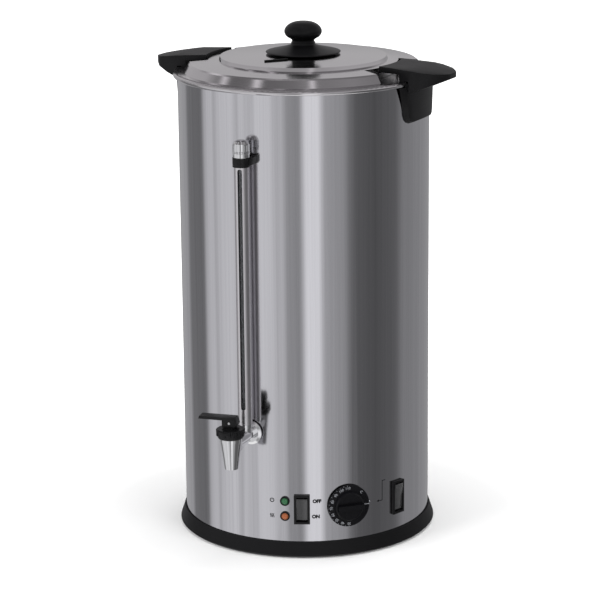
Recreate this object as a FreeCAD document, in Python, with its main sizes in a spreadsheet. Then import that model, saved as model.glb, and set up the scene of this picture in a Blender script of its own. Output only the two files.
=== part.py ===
import FreeCAD, Part
import math
import os
import re
import Sketcher
from FreeCAD import Placement, Rotation, Vector

doc = FreeCAD.newDocument("urn")

# Sizes in mm and degrees. The tap faces -Y and the azimuth grows towards +X.
SIZES = {
    "shell_rad": 150, "sheet_thick": 1.0, "shell_low": 8, "shell_top": 558,
    "tank_rad": "=shell_rad - jacket_gap", "jacket_gap": 12, "through": 20,
    "near_side": "=shell_rad - through", "far_side": "=shell_rad + through", "tank_floor": 112,
    "tank_lip": 2.0, "deck_open": "=shell_rad - deck_in", "deck_in": 38, "deck_top": 559.2,
    "bead_rad": "=shell_rad + bead_proud", "bead_proud": 5, "bead_low": 554.4, "bead_top": 559.8,
    "fit_gap": 0.05, "soft_gap": 0.3, "free_gap": 0.4, "ring_top_rad": "=shell_rad + ring_top_out",
    "ring_top_out": 1.8, "ring_low_rad": "=shell_rad + ring_low_out", "ring_low_out": 7,
    "ring_top": 19, "ring_low": 1.5, "ledge_rad": "=shell_rad - ledge_in", "ledge_in": 9,
    "ledge_low": 4, "plate_thick": 1.2, "foot_rad": 13, "foot_place": "=shell_rad - foot_in",
    "foot_in": 28, "foot_holes": 4, "base_screw_place": "=shell_rad - base_screw_in",
    "base_screw_in": 5, "base_screw_rad": 1.6, "base_screw_head": 3.2, "base_screw_count": 6,
    "lid_rad": "=shell_rad - lid_in", "lid_in": 0.5, "lid_wall_low": "=shell_rad - lid_wall_low_in",
    "lid_wall_low_in": 7, "lid_wall_top": "=shell_rad - lid_wall_top_in", "lid_wall_top_in": 13,
    "lid_corner_high": 570.6, "groove_rad": "=shell_rad - groove_in", "groove_in": 46,
    "groove_high": 573.2, "disc_rad": "=shell_rad - disc_in", "disc_in": 51, "disc_high": 577.3,
    "crown_high": 581, "notch_rad": "=shell_rad - notch_in", "notch_in": 37, "notch_half": 26,
    "skirt_rad": "=shell_rad - skirt_in", "skirt_in": 39.4, "skirt_low": 552, "vent_long": 27,
    "vent_wide": 3, "vent_place": 60.5, "vent_azimuth": -5.8, "vent_turn": 48.2, "knob_high": 617.7,
    "knob_rad": 22.4, "neck_rad": 13.5, "shield_rad": 44.5, "shield_thick": 2.6,
    "knob_screw_rad": 3, "knob_mid": "=neck_low + bulb_rise", "bulb_rise": 11, "neck_low": 596,
    "handle_azimuth": 90, "tab_in": "=shell_rad - tab_reach", "tab_reach": 32, "tab_in_high": 575.4,
    "tab_thick": 7.2, "crease_rad": "=shell_rad + crease_out", "crease_out": 8,
    "crease_high": 572.7, "tip_rad": "=shell_rad + tip_out", "tip_out": 42, "tip_high": 567.6,
    "tip_low": 561.4, "wing_root": "=shell_rad + wing_root_out", "wing_root_out": 6.4,
    "wing_root_low": 546.5, "post_rad": "=shell_rad - post_in", "post_in": 6, "leg_low": 509.5,
    "leg_out": "=shell_rad + leg_proud", "leg_proud": 5.6, "tab_half": 33, "crease_half": 37,
    "shoulder_rad": "=shell_rad + shoulder_out", "shoulder_out": 23, "shoulder_half": 37,
    "tip_half": 17, "leg_half_top": 47, "leg_half_low": 36, "leg_face_half": 34.5, "leg_top": 558,
    "grip_screw_half": 20, "grip_screw_high": 534, "grip_screw_rad": 2.5, "grip_screw_head": 4.5,
    "gauge_place": "=shell_rad + gauge_out", "gauge_out": 15.2, "shield_tube_rad": 8.35,
    "shield_tube_in": 7.4, "shield_low": 166.2, "shield_top": 485.6, "slot_wide": 5.4,
    "slot_low": 184.7, "slot_top": 471, "slot_turn": 12, "glass_rad": 6, "glass_in": 4,
    "glass_low": 158.5, "glass_top": 496.5, "cap_rad": 9.8, "cap_low": 483.3, "cap_top": 503.8,
    "clamp_rad": 10.1, "clamp_low": 473, "clamp_top": 483, "bridge_half": 11.5,
    "clamp_screw_rad": 2, "tap_place": "=shell_rad + tap_out", "tap_out": 52.8, "tap_high": 152,
    "shank_rad": 8, "shank_bore": 4.2, "flange_rad": 14.5, "flange_thick": 3.4,
    "tank_end": "=tank_rad - shank_in", "shank_in": 14, "spout_rad": 13, "spout_low_rad": 8,
    "spout_low": 122.5, "spout_shift": 0.8, "spout_top": 160, "seat_high": 148, "chamber_rad": 9.4,
    "outlet_rad": 5.4, "thread_rad": 11.6, "thread_top": 164, "bonnet_rad": 17,
    "bonnet_low_rad": 15.2, "bonnet_low": 160.2, "bonnet_top": 171.5, "bonnet_roof": 3,
    "stem_rad": 2.6, "cup_rad": 7.2, "cup_thick": 4, "washer_thick": 1.2, "pivot_high": 179,
    "pivot_rad": 1.5, "hub_half": 9.5, "hub_wide": 7, "hub_top": 185.8, "hub_low": 172.8,
    "lever_long": 37, "lever_thick": 3.2, "lever_half": 6.8, "lever_azimuth": -80, "coil_rad": 5.6,
    "wire_rad": 0.55, "coil_turns": 5, "lamp_azimuth": 15.6, "power_high": 69.7, "heat_high": 50.9,
    "bezel_rad": 5.85, "lens_rad": 4.2, "barrel_rad": 4.9, "barrel_end": "=shell_rad - barrel_in",
    "barrel_in": 20, "switch_azimuth": 23.3, "switch_high": 59.8, "switch_half": 9.5,
    "switch_tall": 17.8, "mode_azimuth": 71.6, "mode_high": 59.2, "mode_half": 9.5,
    "mode_tall": 20.5, "frame_proud": 3.4, "frame_wall": 2.6,
    "switch_end": "=shell_rad - switch_in", "switch_in": 24, "pivot_place": "=shell_rad - pivot_in",
    "pivot_in": 3.6, "trunnion_rad": 1.5, "dial_azimuth": 44.5, "dial_high": 62, "dial_rad": 25.8,
    "dial_back": "=shell_rad + dial_gap", "dial_gap": 0.9, "rim_thick": 3.2, "hub_rad": 17.5,
    "hub_out": "=shell_rad + hub_proud", "hub_proud": 13.5, "shaft_rad": 3,
    "shaft_in": "=shell_rad - shaft_reach", "shaft_reach": 22, "stat_half": 20, "stat_tall": 17,
    "stat_in": "=shell_rad - stat_back", "stat_back": 38, "stat_out": "=shell_rad - stat_front",
    "stat_front": 7, "element_rad": "=tank_rad - element_in", "element_in": 56, "sheath_rad": 4,
    "spreader_thick": 5, "spreader_rad": "=tank_rad - spreader_in", "spreader_in": 38,
    "clamp_bar_half": "=tank_rad - clamp_bar_in", "clamp_bar_in": 42, "stud_rad": 4,
    "cutout_place": 46, "cutout_rad": 12, "cutout_deep": 11, "gland_azimuth": 180, "gland_high": 36,
    "gland_rad": 12, "gland_thread": 8, "gland_bore": 4, "bulb_place": 52, "bulb_rad": 3,
    "block_half": 28,
}

sizes = doc.addObject("Spreadsheet::Sheet", "Sizes")
for row, (alias, value) in enumerate(SIZES.items(), start=1):
    sizes.set("A%d" % row, alias.replace("_", " "))
    sizes.set("B%d" % row, str(value))
    sizes.setAlias("B%d" % row, alias)
doc.recompute()

nodes = []


def named(text):
    """The expression with every alias pointed at the sheet."""
    return re.sub(r"[a-z]+(?:_[a-z]+)+", lambda m: "Sizes." + m.group(0), str(text))


def value_of(text):
    found = sizes.evalExpression(named(text))
    return float(getattr(found, "Value", found))


def new_body(name):
    return doc.addObject("PartDesign::Body", name)


def new_sketch(body, role, offset=None, rise=None, side=None):
    sketch = body.newObject("Sketcher::SketchObject", body.Name + "_sketch")
    plane = [part for part in body.Origin.OriginFeatures if part.Role == role][0]
    sketch.AttachmentSupport = [(plane, "")]
    sketch.MapMode = "FlatFace"
    for axis, text in (("z", offset), ("y", rise), ("x", side)):
        if text is not None:
            sketch.setExpression("AttachmentOffset.Base." + axis, named(text))
    return sketch


def hold(sketch, geo, pos, x, y):
    """Ties one point of the sketch to a pair of expressions."""
    for kind, line, text in (("DistanceX", -2, x), ("DistanceY", -1, y)):
        number = value_of(text)
        if abs(number) < 1e-7:
            sketch.addConstraint(Sketcher.Constraint("PointOnObject", geo, pos, line))
            continue
        index = sketch.addConstraint(Sketcher.Constraint(kind, -1, 1, geo, pos, number))
        sketch.setExpression("Constraints[%d]" % index, named(text))


def polygon(sketch, points):
    spots = [Vector(value_of(x), value_of(y), 0) for x, y in points]
    first = sketch.GeometryCount
    count = len(spots)
    for i in range(count):
        sketch.addGeometry(Part.LineSegment(spots[i], spots[(i + 1) % count]), False)
    for i in range(count):
        after = first + (i + 1) % count
        sketch.addConstraint(Sketcher.Constraint("Coincident", first + i, 2, after, 1))
    for i, (x, y) in enumerate(points):
        hold(sketch, first + i, 1, x, y)


def circle(sketch, x, y, radius):
    centre = Vector(value_of(x), value_of(y), 0)
    geo = sketch.addGeometry(Part.Circle(centre, Vector(0, 0, 1), value_of(radius)), False)
    hold(sketch, geo, 3, x, y)
    index = sketch.addConstraint(Sketcher.Constraint("Radius", geo, value_of(radius)))
    sketch.setExpression("Constraints[%d]" % index, named(radius))


def box_points(x0, x1, y0, y1):
    return [(x0, y0), (x1, y0), (x1, y1), (x0, y1)]


def revolve(body, sketch, axis="V_Axis", angle=360):
    turn = body.newObject("PartDesign::Revolution", body.Name + "_turn")
    turn.Profile = sketch
    turn.ReferenceAxis = (sketch, [axis])
    turn.Angle = angle
    if angle < 360:
        turn.Midplane = True
    return turn


def pad(body, sketch, length, both=False, back=False):
    made = body.newObject("PartDesign::Pad", body.Name + "_pad")
    made.Profile = sketch
    made.setExpression("Length", named(length))
    made.Midplane = both
    made.Reversed = back
    return made


def turned(name, points, rise=None, side=None):
    """A piece turned about a vertical line through the given offset."""
    body = new_body(name)
    sketch = new_sketch(body, "XZ_Plane", rise=rise)
    polygon(sketch, points)
    revolve(body, sketch)
    if side is not None:
        body.setExpression("Placement.Base.y", named("0 - (%s)" % side))
    return body


def radial(name, points, high, azimuth="0"):
    """A piece turned about the line that runs straight out of the shell."""
    body = new_body(name)
    sketch = new_sketch(body, "YZ_Plane", rise=high)
    polygon(sketch, [("0 - (%s)" % out, off) for out, off in points])
    revolve(body, sketch, "H_Axis")
    spin(body, azimuth)
    return body


def panel(name, outline, inner, outer, azimuth="0"):
    """A block with its outline seen from the front, between two distances out."""
    body = new_body(name)
    sketch = new_sketch(body, "XZ_Plane", offset=inner)
    polygon(sketch, outline)
    pad(body, sketch, "(%s) - (%s)" % (outer, inner))
    spin(body, azimuth)
    return body


def slab(name, outline, low, high):
    """A block with its outline seen from above, between two heights."""
    body = new_body(name)
    sketch = new_sketch(body, "XY_Plane", offset=low)
    polygon(sketch, outline)
    pad(body, sketch, "(%s) - (%s)" % (high, low))
    return body


def spin(item, azimuth):
    """Turns a piece about the upright axis of the urn."""
    if abs(value_of(azimuth)) < 1e-9:
        return item
    item.Placement = Placement(item.Placement.Base, Rotation(Vector(0, 0, 1), 1))
    item.setExpression("Placement.Rotation.Angle", named(azimuth))
    return item


def less(name, base, tools):
    cut = doc.addObject("Part::Cut", name)
    cut.Base = base
    cut.Tool = tools[0] if len(tools) == 1 else together(name + "_tools", tools)
    return cut


def together(name, items):
    group = doc.addObject("Part::MultiFuse", name)
    group.Shapes = items
    return group


def step_by_step(name, kind, base, items):
    """Joins or cuts one piece at a time, which crowded castings need."""
    for item in items:
        result = doc.addObject(kind, name)
        result.Base = base
        result.Tool = item
        result.Refine = False
        base = result
    return base


def shared(name, items):
    common = doc.addObject("Part::MultiCommon", name)
    common.Shapes = items
    return common


def several(name, items):
    group = doc.addObject("Part::Compound", name)
    group.Links = items
    return group


def rounded(name, base, radius, chosen):
    """Rounds the edges of a finished piece that the test picks."""
    doc.recompute()
    fillet = doc.addObject("Part::Fillet", name)
    fillet.Base = base
    size = value_of(radius)
    picked = [i for i, edge in enumerate(base.Shape.Edges, start=1) if chosen(edge)]
    fillet.Edges = [(i, size, size) for i in picked]
    return fillet


def node(label, item):
    item.Label = label
    nodes.append(item)
    return item


def drill(name, radius, inner, outer, high, side="0", azimuth="0"):
    """A cylinder along the line out of the shell, at a sideways offset."""
    body = new_body(name)
    sketch = new_sketch(body, "XZ_Plane", offset=inner)
    circle(sketch, side, high, radius)
    pad(body, sketch, "(%s) - (%s)" % (outer, inner))
    spin(body, azimuth)
    return body


def post(name, radius, low, high, x="0", y="0"):
    """An upright cylinder."""
    body = new_body(name)
    sketch = new_sketch(body, "XY_Plane", offset=low)
    circle(sketch, x, y, radius)
    pad(body, sketch, "(%s) - (%s)" % (high, low))
    return body


def build_shell():
    wall = turned("shell_wall", box_points("shell_rad - sheet_thick", "shell_rad",
                                           "shell_low", "shell_top"))
    holes = [
        drill("hole_tap", "shank_rad + free_gap", "near_side", "far_side", "tap_high"),
        drill("hole_clamp", "clamp_screw_rad + free_gap", "near_side", "far_side", "clamp_low + 6"),
        drill("hole_power", "barrel_rad + fit_gap", "near_side", "far_side", "power_high",
              azimuth="lamp_azimuth"),
        drill("hole_heat", "barrel_rad + fit_gap", "near_side", "far_side", "heat_high",
              azimuth="lamp_azimuth"),
        drill("hole_dial", "shaft_rad + 2", "near_side", "far_side", "dial_high", azimuth="dial_azimuth"),
        drill("hole_gland", "gland_thread + fit_gap", "near_side", "far_side", "gland_high",
              azimuth="gland_azimuth"),
    ]
    for tag in ("switch", "mode"):
        outline = box_points("0 - %s_half + 1.2" % tag, "%s_half - 1.2" % tag,
                             "%s_high - %s_tall + 1.2" % (tag, tag),
                             "%s_high + %s_tall - 1.2" % (tag, tag))
        holes.append(panel("hole_" + tag, outline, "near_side", "far_side", tag + "_azimuth"))
    for turn in ("handle_azimuth", "0 - handle_azimuth"):
        for side in ("grip_screw_half", "0 - grip_screw_half"):
            holes.append(drill("hole_grip", "grip_screw_rad + fit_gap", "near_side", "far_side",
                               "grip_screw_high", side=side, azimuth=turn))
    for side in ("14", "0 - 14"):
        holes.append(drill("hole_stat", "1.5 + fit_gap", "near_side", "far_side", "dial_high", side=side,
                           azimuth="dial_azimuth"))
    node("outer_shell", less("outer_shell", wall, holes))


def build_tank():
    wall = turned("tank_side", box_points("tank_rad - sheet_thick", "tank_rad",
                                          "tank_floor - 1", "deck_top - 1.2"))
    hole = drill("tank_hole", "shank_rad + free_gap", "tank_end", "tank_rad + 7", "tap_high")
    node("tank_wall", less("tank_wall", wall, [hole]))
    node("tank_base", turned("tank_base", box_points(
        "0", "tank_rad - sheet_thick - fit_gap", "tank_floor - 1", "tank_floor")))
    deck = turned("deck", [
        ("deck_open", "skirt_low + 1"), ("deck_open + 1.2", "skirt_low + 1"),
        ("deck_open + 1.2", "deck_top - 1.2"), ("shell_rad + fit_gap", "deck_top - 1.2"),
        ("shell_rad + fit_gap", "bead_low"), ("bead_rad", "bead_low"), ("bead_rad", "bead_top"),
        ("shell_rad + 0.9", "bead_top"), ("shell_rad + 0.9", "deck_top"),
        ("deck_open", "deck_top")])
    rim = value_of("bead_rad")
    node("top_rim", rounded("top_rim", deck, "tank_lip", lambda edge: abs(
        edge.BoundBox.XMax - rim) < 1e-3 and edge.BoundBox.ZLength < 1e-3))


def build_base():
    ring = turned("ring_body", [
        ("shell_rad + free_gap", "shell_low"), ("shell_rad + free_gap", "ring_top"),
        ("ring_top_rad", "ring_top"), ("ring_low_rad", "ring_low + 2"),
        ("ring_low_rad - 2", "ring_low"), ("shell_rad", "ring_low"), ("shell_rad", "ledge_low"),
        ("ledge_rad", "ledge_low"), ("ledge_rad", "shell_low")])
    plate = turned("plate_body", box_points(
        "0", "shell_rad - sheet_thick - free_gap", "shell_low", "shell_low + plate_thick"))
    ring_holes = []
    plate_holes = []
    screws = []
    count = int(value_of("base_screw_count"))
    for i in range(count):
        turn = "%d * 360 / base_screw_count + 15" % i
        for group, grow in ((ring_holes, "fit_gap"), (plate_holes, "fit_gap")):
            hole = turned("screw_hole", box_points("0", "base_screw_rad + " + grow, "0", "30"),
                          side="base_screw_place")
            group.append(orbit(hole, "base_screw_place", turn))
        screw = turned("base_screw", [
            ("0", "ledge_low - 2.2"), ("base_screw_head", "ledge_low - 2.2"),
            ("base_screw_head", "ledge_low"), ("base_screw_rad", "ledge_low"),
            ("base_screw_rad", "shell_low + 5"), ("0", "shell_low + 5")],
            side="base_screw_place")
        screws.append(orbit(screw, "base_screw_place", turn))
    node("base_ring", less("base_ring", ring, ring_holes))
    node("base_plate", less("base_plate", plate, plate_holes))
    node("base_screws", several("base_screws", screws))
    feet = []
    for i in range(int(value_of("foot_holes"))):
        foot = turned("foot", [
            ("0", "0"), ("foot_rad", "0"), ("foot_rad + 1", "1"),
            ("foot_rad", "shell_low - soft_gap"), ("0", "shell_low - soft_gap")],
            side="foot_place")
        feet.append(orbit(foot, "foot_place", "%d * 360 / foot_holes + 45" % i))
    feet.append(turned("middle_foot", [
        ("0", "0"), ("foot_rad", "0"), ("foot_rad + 1", "1"),
        ("foot_rad", "shell_low - soft_gap"), ("0", "shell_low - soft_gap")]))
    node("base_feet", several("base_feet", feet))


def orbit(item, place, turn):
    """Moves an upright piece round the axis to its azimuth."""
    item.setExpression("Placement.Base.x", "(%s) * sin((%s) * 1 deg)" % (named(place), named(turn)))
    item.setExpression("Placement.Base.y",
                       "0 - (%s) * cos((%s) * 1 deg)" % (named(place), named(turn)))
    return item


def build_lid():
    skin = [
        ("0", "crown_high - 1"), ("0", "crown_high"), ("disc_rad", "disc_high"),
        ("disc_rad + 1.5", "groove_high"), ("groove_rad", "groove_high"),
        ("lid_wall_top - 2", "lid_corner_high"), ("lid_wall_top", "lid_corner_high - 1.6"),
        ("lid_wall_low - 0.4", "deck_top + 1.5"), ("lid_rad", "deck_top + 1.1"),
        ("lid_rad", "deck_top + fit_gap"), ("lid_wall_low - 2", "deck_top + fit_gap"),
        ("lid_wall_top - 1.2", "lid_corner_high - 2.4"), ("lid_wall_top - 3", "lid_corner_high - 1.1"),
        ("groove_rad", "groove_high - 1"), ("disc_rad + 0.4", "groove_high - 1"),
        ("disc_rad - 0.9", "disc_high - 1")]
    dish = turned("lid_skin", skin)
    tools = []
    for sign in ("", "0 - "):
        wedge = new_body("notch")
        sketch = new_sketch(wedge, "YZ_Plane")
        polygon(sketch, box_points("0 - 170", "0 - notch_rad", "540", "600"))
        turn = revolve(wedge, sketch, angle=40)
        turn.setExpression("Angle", named("2 * notch_half"))
        tools.append(spin(wedge, sign + "handle_azimuth"))
    vent = slab("vent", box_points("0 - vent_long / 2", "vent_long / 2", "0 - vent_wide / 2",
                                   "vent_wide / 2"), "560", "600")
    vent.Placement = Placement(Vector(0, 0, 0), Rotation(Vector(0, 0, 1), 1))
    vent.setExpression("Placement.Rotation.Angle", named("vent_azimuth + vent_turn"))
    orbit(vent, "vent_place", "vent_azimuth")
    tools.append(vent)
    tools.append(post("lid_hole", "knob_screw_rad + fit_gap", "560", "600"))
    node("lid", less("lid", dish, tools))
    node("lid_skirt", turned("lid_skirt", [
        ("skirt_rad - 1", "skirt_low"), ("skirt_rad", "skirt_low"),
        ("skirt_rad", "groove_high - 1.62"), ("skirt_rad - 1", "groove_high - 1.54")]))
    shield = turned("knob_shield", [
        ("knob_screw_rad + fit_gap", "crown_high + fit_gap"), ("shield_rad - 6", "crown_high + fit_gap"),
        ("shield_rad", "crown_high + 0.8"), ("shield_rad - 1", "crown_high + shield_thick"),
        ("neck_rad + 6", "crown_high + 5.6"),
        ("knob_screw_rad + fit_gap", "crown_high + 5.6")])
    node("knob_shield", shield)
    knob = turned("knob_body", [
        ("0", "neck_low + 2"), ("knob_screw_rad + fit_gap", "neck_low + 2"),
        ("knob_screw_rad + fit_gap", "crown_high + 5.6"), ("neck_rad + 2", "crown_high + 5.6"),
        ("neck_rad", "crown_high + 8.5"), ("neck_rad", "neck_low"),
        ("knob_rad - 3.2", "neck_low + 4"), ("knob_rad", "knob_mid"),
        ("knob_rad - 2.6", "knob_mid + 6.2"), ("knob_rad - 9", "knob_high - 0.9"),
        ("0", "knob_high")])
    rim = value_of("knob_rad")
    node("lid_knob", rounded("lid_knob", knob, "3", lambda edge: edge.BoundBox.ZMin > value_of(
        "neck_low") + 3 and edge.BoundBox.ZLength < 1e-3 and edge.BoundBox.XMax > rim - 3.5))
    node("knob_washer", turned("knob_washer", box_points(
        "knob_screw_rad + fit_gap", "9", "crown_high - 3", "crown_high - 1.5")))
    node("knob_screw", turned("knob_screw", [
        ("0", "crown_high - 6"), ("5", "crown_high - 6"), ("5", "crown_high - 3"),
        ("knob_screw_rad", "crown_high - 3"), ("knob_screw_rad", "neck_low"), ("0", "neck_low")]))


def build_handle(label, azimuth):
    wing = new_body("wing")
    sketch = new_sketch(wing, "YZ_Plane")
    side = [
        ("tab_in", "tab_in_high"), ("crease_rad", "crease_high"), ("tip_rad", "tip_high"),
        ("tip_rad", "tip_low"), ("wing_root", "wing_root_low"), ("near_side", "wing_root_low"),
        ("near_side", "tab_in_high - tab_thick"), ("tab_in", "tab_in_high - tab_thick")]
    polygon(sketch, [("0 - (%s)" % r, z) for r, z in side])
    revolve(wing, sketch, angle=80)
    half = [("tab_half", "tab_in - 12"), ("crease_half", "crease_rad - 4"),
            ("shoulder_half - 1", "shoulder_rad - 8"), ("shoulder_half - 9", "shoulder_rad + 7"),
            ("tip_half", "tip_rad - 4"), ("tip_half - 8", "tip_rad + 0.5")]
    plan = [(x, "0 - (%s)" % y) for x, y in half]
    plan += [("0 - (%s)" % x, y) for x, y in reversed(plan)]
    outline = slab("plan", plan, "500", "600")
    top = shared("wing_top", [wing, outline])
    leg = doc.addObject("Part::Loft", "leg")
    sections = []
    for depth, wide_top, wide_low, low in (
            ("post_rad + 1", "leg_half_top + 2", "leg_half_low", "leg_low - 0.5"),
            ("leg_out", "leg_face_half", "leg_face_half - 1", "leg_low + 3")):
        holder = new_body("leg_section")
        sketch = new_sketch(holder, "XZ_Plane", offset=depth)
        right = [("(%s) - 8" % wide_low, low), ("(%s) - 2.4" % wide_low, "(%s) + 2.4" % low),
                 (wide_low, "(%s) + 8" % low), (wide_top, "leg_top")]
        polygon(sketch, right + [("0 - (%s)" % x, y) for x, y in reversed(right)])
        sections.append(sketch)
    leg.Sections = sections
    leg.Solid = True
    leg.Ruled = True
    leg_round = turned("leg_round", box_points("0", "leg_out", "490", "leg_top + 4"))
    leg_kept = shared("leg_kept", [leg, leg_round])
    clear = turned("clear", [
        ("0", "480"), ("shell_rad + fit_gap", "480"), ("shell_rad + fit_gap", "bead_low - 0.6"),
        ("bead_rad + free_gap", "bead_low - 0.6"), ("bead_rad + free_gap", "bead_top + 0.6"),
        ("shell_rad + 0.3", "bead_top + 0.6"), ("shell_rad + 0.3", "deck_top + fit_gap"),
        ("post_rad", "deck_top + fit_gap"), ("post_rad", "tab_in_high - tab_thick"),
        ("0", "tab_in_high - tab_thick")])
    tools = [clear]
    for side in ("grip_screw_half", "0 - grip_screw_half"):
        tools.append(drill("pilot", "grip_screw_rad + fit_gap", "near_side",
                           "shell_rad + 2.6", "grip_screw_high", side=side))
    solid = less(label, together("grip", [top, leg_kept]), tools)
    spin(solid, azimuth)
    node(label, solid)


def build_grip_fixings():
    plates = []
    screws = []
    for turn in ("handle_azimuth", "0 - handle_azimuth"):
        wall = turned("backing_ring", box_points(
            "shell_rad - sheet_thick - 2", "shell_rad - sheet_thick - fit_gap",
            "grip_screw_high - 8", "grip_screw_high + 8"))
        width = panel("backing_width", box_points("0 - 30", "30", "500", "560"), "near_side", "far_side")
        tools = []
        for side in ("grip_screw_half", "0 - grip_screw_half"):
            tools.append(drill("backing_hole", "grip_screw_rad + fit_gap", "near_side", "far_side",
                               "grip_screw_high", side=side))
            head = drill("grip_head", "grip_screw_head", "shell_rad - sheet_thick - 7.4",
                         "shell_rad - sheet_thick - 4.8", "grip_screw_high", side=side)
            shank = drill("grip_shank", "grip_screw_rad", "shell_rad - sheet_thick - 5",
                          "shell_rad + 2.4", "grip_screw_high", side=side)
            screws.append(spin(together("grip_screw", [head, shank]), turn))
        plate = less("backing", shared("backing_strip", [wall, width]), tools)
        plates.append(spin(plate, turn))
    node("grip_plates", several("grip_plates", plates))
    node("grip_screws", several("grip_screws", screws))


def build_gauge():
    tube = turned("shield_tube", box_points("shield_tube_in", "shield_tube_rad", "shield_low",
                                            "shield_top"), side="gauge_place")
    slot = panel("shield_slot", box_points("0 - slot_wide / 2", "slot_wide / 2",
                                           "slot_low + slot_wide / 2", "slot_top - slot_wide / 2"),
                 "gauge_place", "gauge_place + 20")
    ends = [drill("slot_end", "slot_wide / 2", "gauge_place", "gauge_place + 20", high)
            for high in ("slot_low + slot_wide / 2", "slot_top - slot_wide / 2")]
    cutter = together("slot_cutter", [slot] + ends)
    cutter.Placement = Placement(Vector(), Rotation(Vector(0, 0, 1), 1))
    cutter.setExpression("Placement.Rotation.Angle", named("slot_turn"))
    cutter.setExpression("Placement.Base.x", named("0 - gauge_place * sin(slot_turn * 1 deg)"))
    cutter.setExpression("Placement.Base.y",
                         named("gauge_place * cos(slot_turn * 1 deg) - gauge_place"))
    node("gauge_shield", less("gauge_shield", tube, [cutter]))
    node("gauge_glass", turned("gauge_glass", box_points(
        "glass_in", "glass_rad", "glass_low", "glass_top"), side="gauge_place"))
    node("gauge_cap", turned("gauge_cap", [
        ("0", "cap_top - 3.4"), ("glass_rad + free_gap", "cap_top - 3.4"),
        ("glass_rad + free_gap", "shield_top + 1"), ("shield_tube_rad + fit_gap", "shield_top + 1"),
        ("shield_tube_rad + fit_gap", "cap_low"), ("cap_rad - 0.6", "cap_low"), ("cap_rad", "cap_low + 1"),
        ("cap_rad", "cap_low + 5.6"), ("cap_rad - 1", "cap_low + 6.4"),
        ("cap_rad - 1", "cap_low + 7.4"), ("cap_rad - 0.3", "cap_low + 8.2"),
        ("cap_rad - 0.3", "cap_top - 4"), ("cap_rad - 2.4", "cap_top - 1.2"),
        ("cap_rad - 5.4", "cap_top"), ("0", "cap_top")], side="gauge_place"))
    ring = turned("clamp_ring", box_points("0", "clamp_rad", "clamp_low", "clamp_top"),
                  side="gauge_place")
    bridge = panel("bridge", box_points("0 - bridge_half", "bridge_half", "clamp_low + 2", "clamp_top"),
                   "tank_rad + 2", "gauge_place")
    inside = turned("inside", box_points("0", "shell_rad + fit_gap", "450", "500"))
    bore = turned("clamp_bore", box_points("0", "shield_tube_rad + fit_gap", "450", "500"),
                  side="gauge_place")
    pilot = drill("clamp_pilot", "clamp_screw_rad + fit_gap", "near_side", "shell_rad + 4",
                  "clamp_low + 6")
    node("gauge_clamp", less("gauge_clamp", together("clamp", [ring, bridge]), [inside, bore, pilot]))
    node("clamp_screw", radial("clamp_screw", [
        ("shell_rad - 5", "0"), ("shell_rad - 5", "clamp_screw_rad * 2"),
        ("shell_rad - 1.5", "clamp_screw_rad * 2"), ("shell_rad - 1.5", "clamp_screw_rad"),
        ("shell_rad + 3.7", "clamp_screw_rad"), ("shell_rad + 3.7", "0")], "clamp_low + 6"))
    node("gauge_nut", turned("gauge_nut", box_points(
        "glass_rad + 1.5", "shield_tube_rad", "tap_high + 10.05", "shield_low - fit_gap"),
        side="gauge_place"))
    node("gauge_seal", turned("gauge_seal", box_points(
        "glass_rad + soft_gap", "glass_rad + 1.2", "tap_high + 10.4", "shield_low - 0.8"),
        side="gauge_place"))


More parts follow.
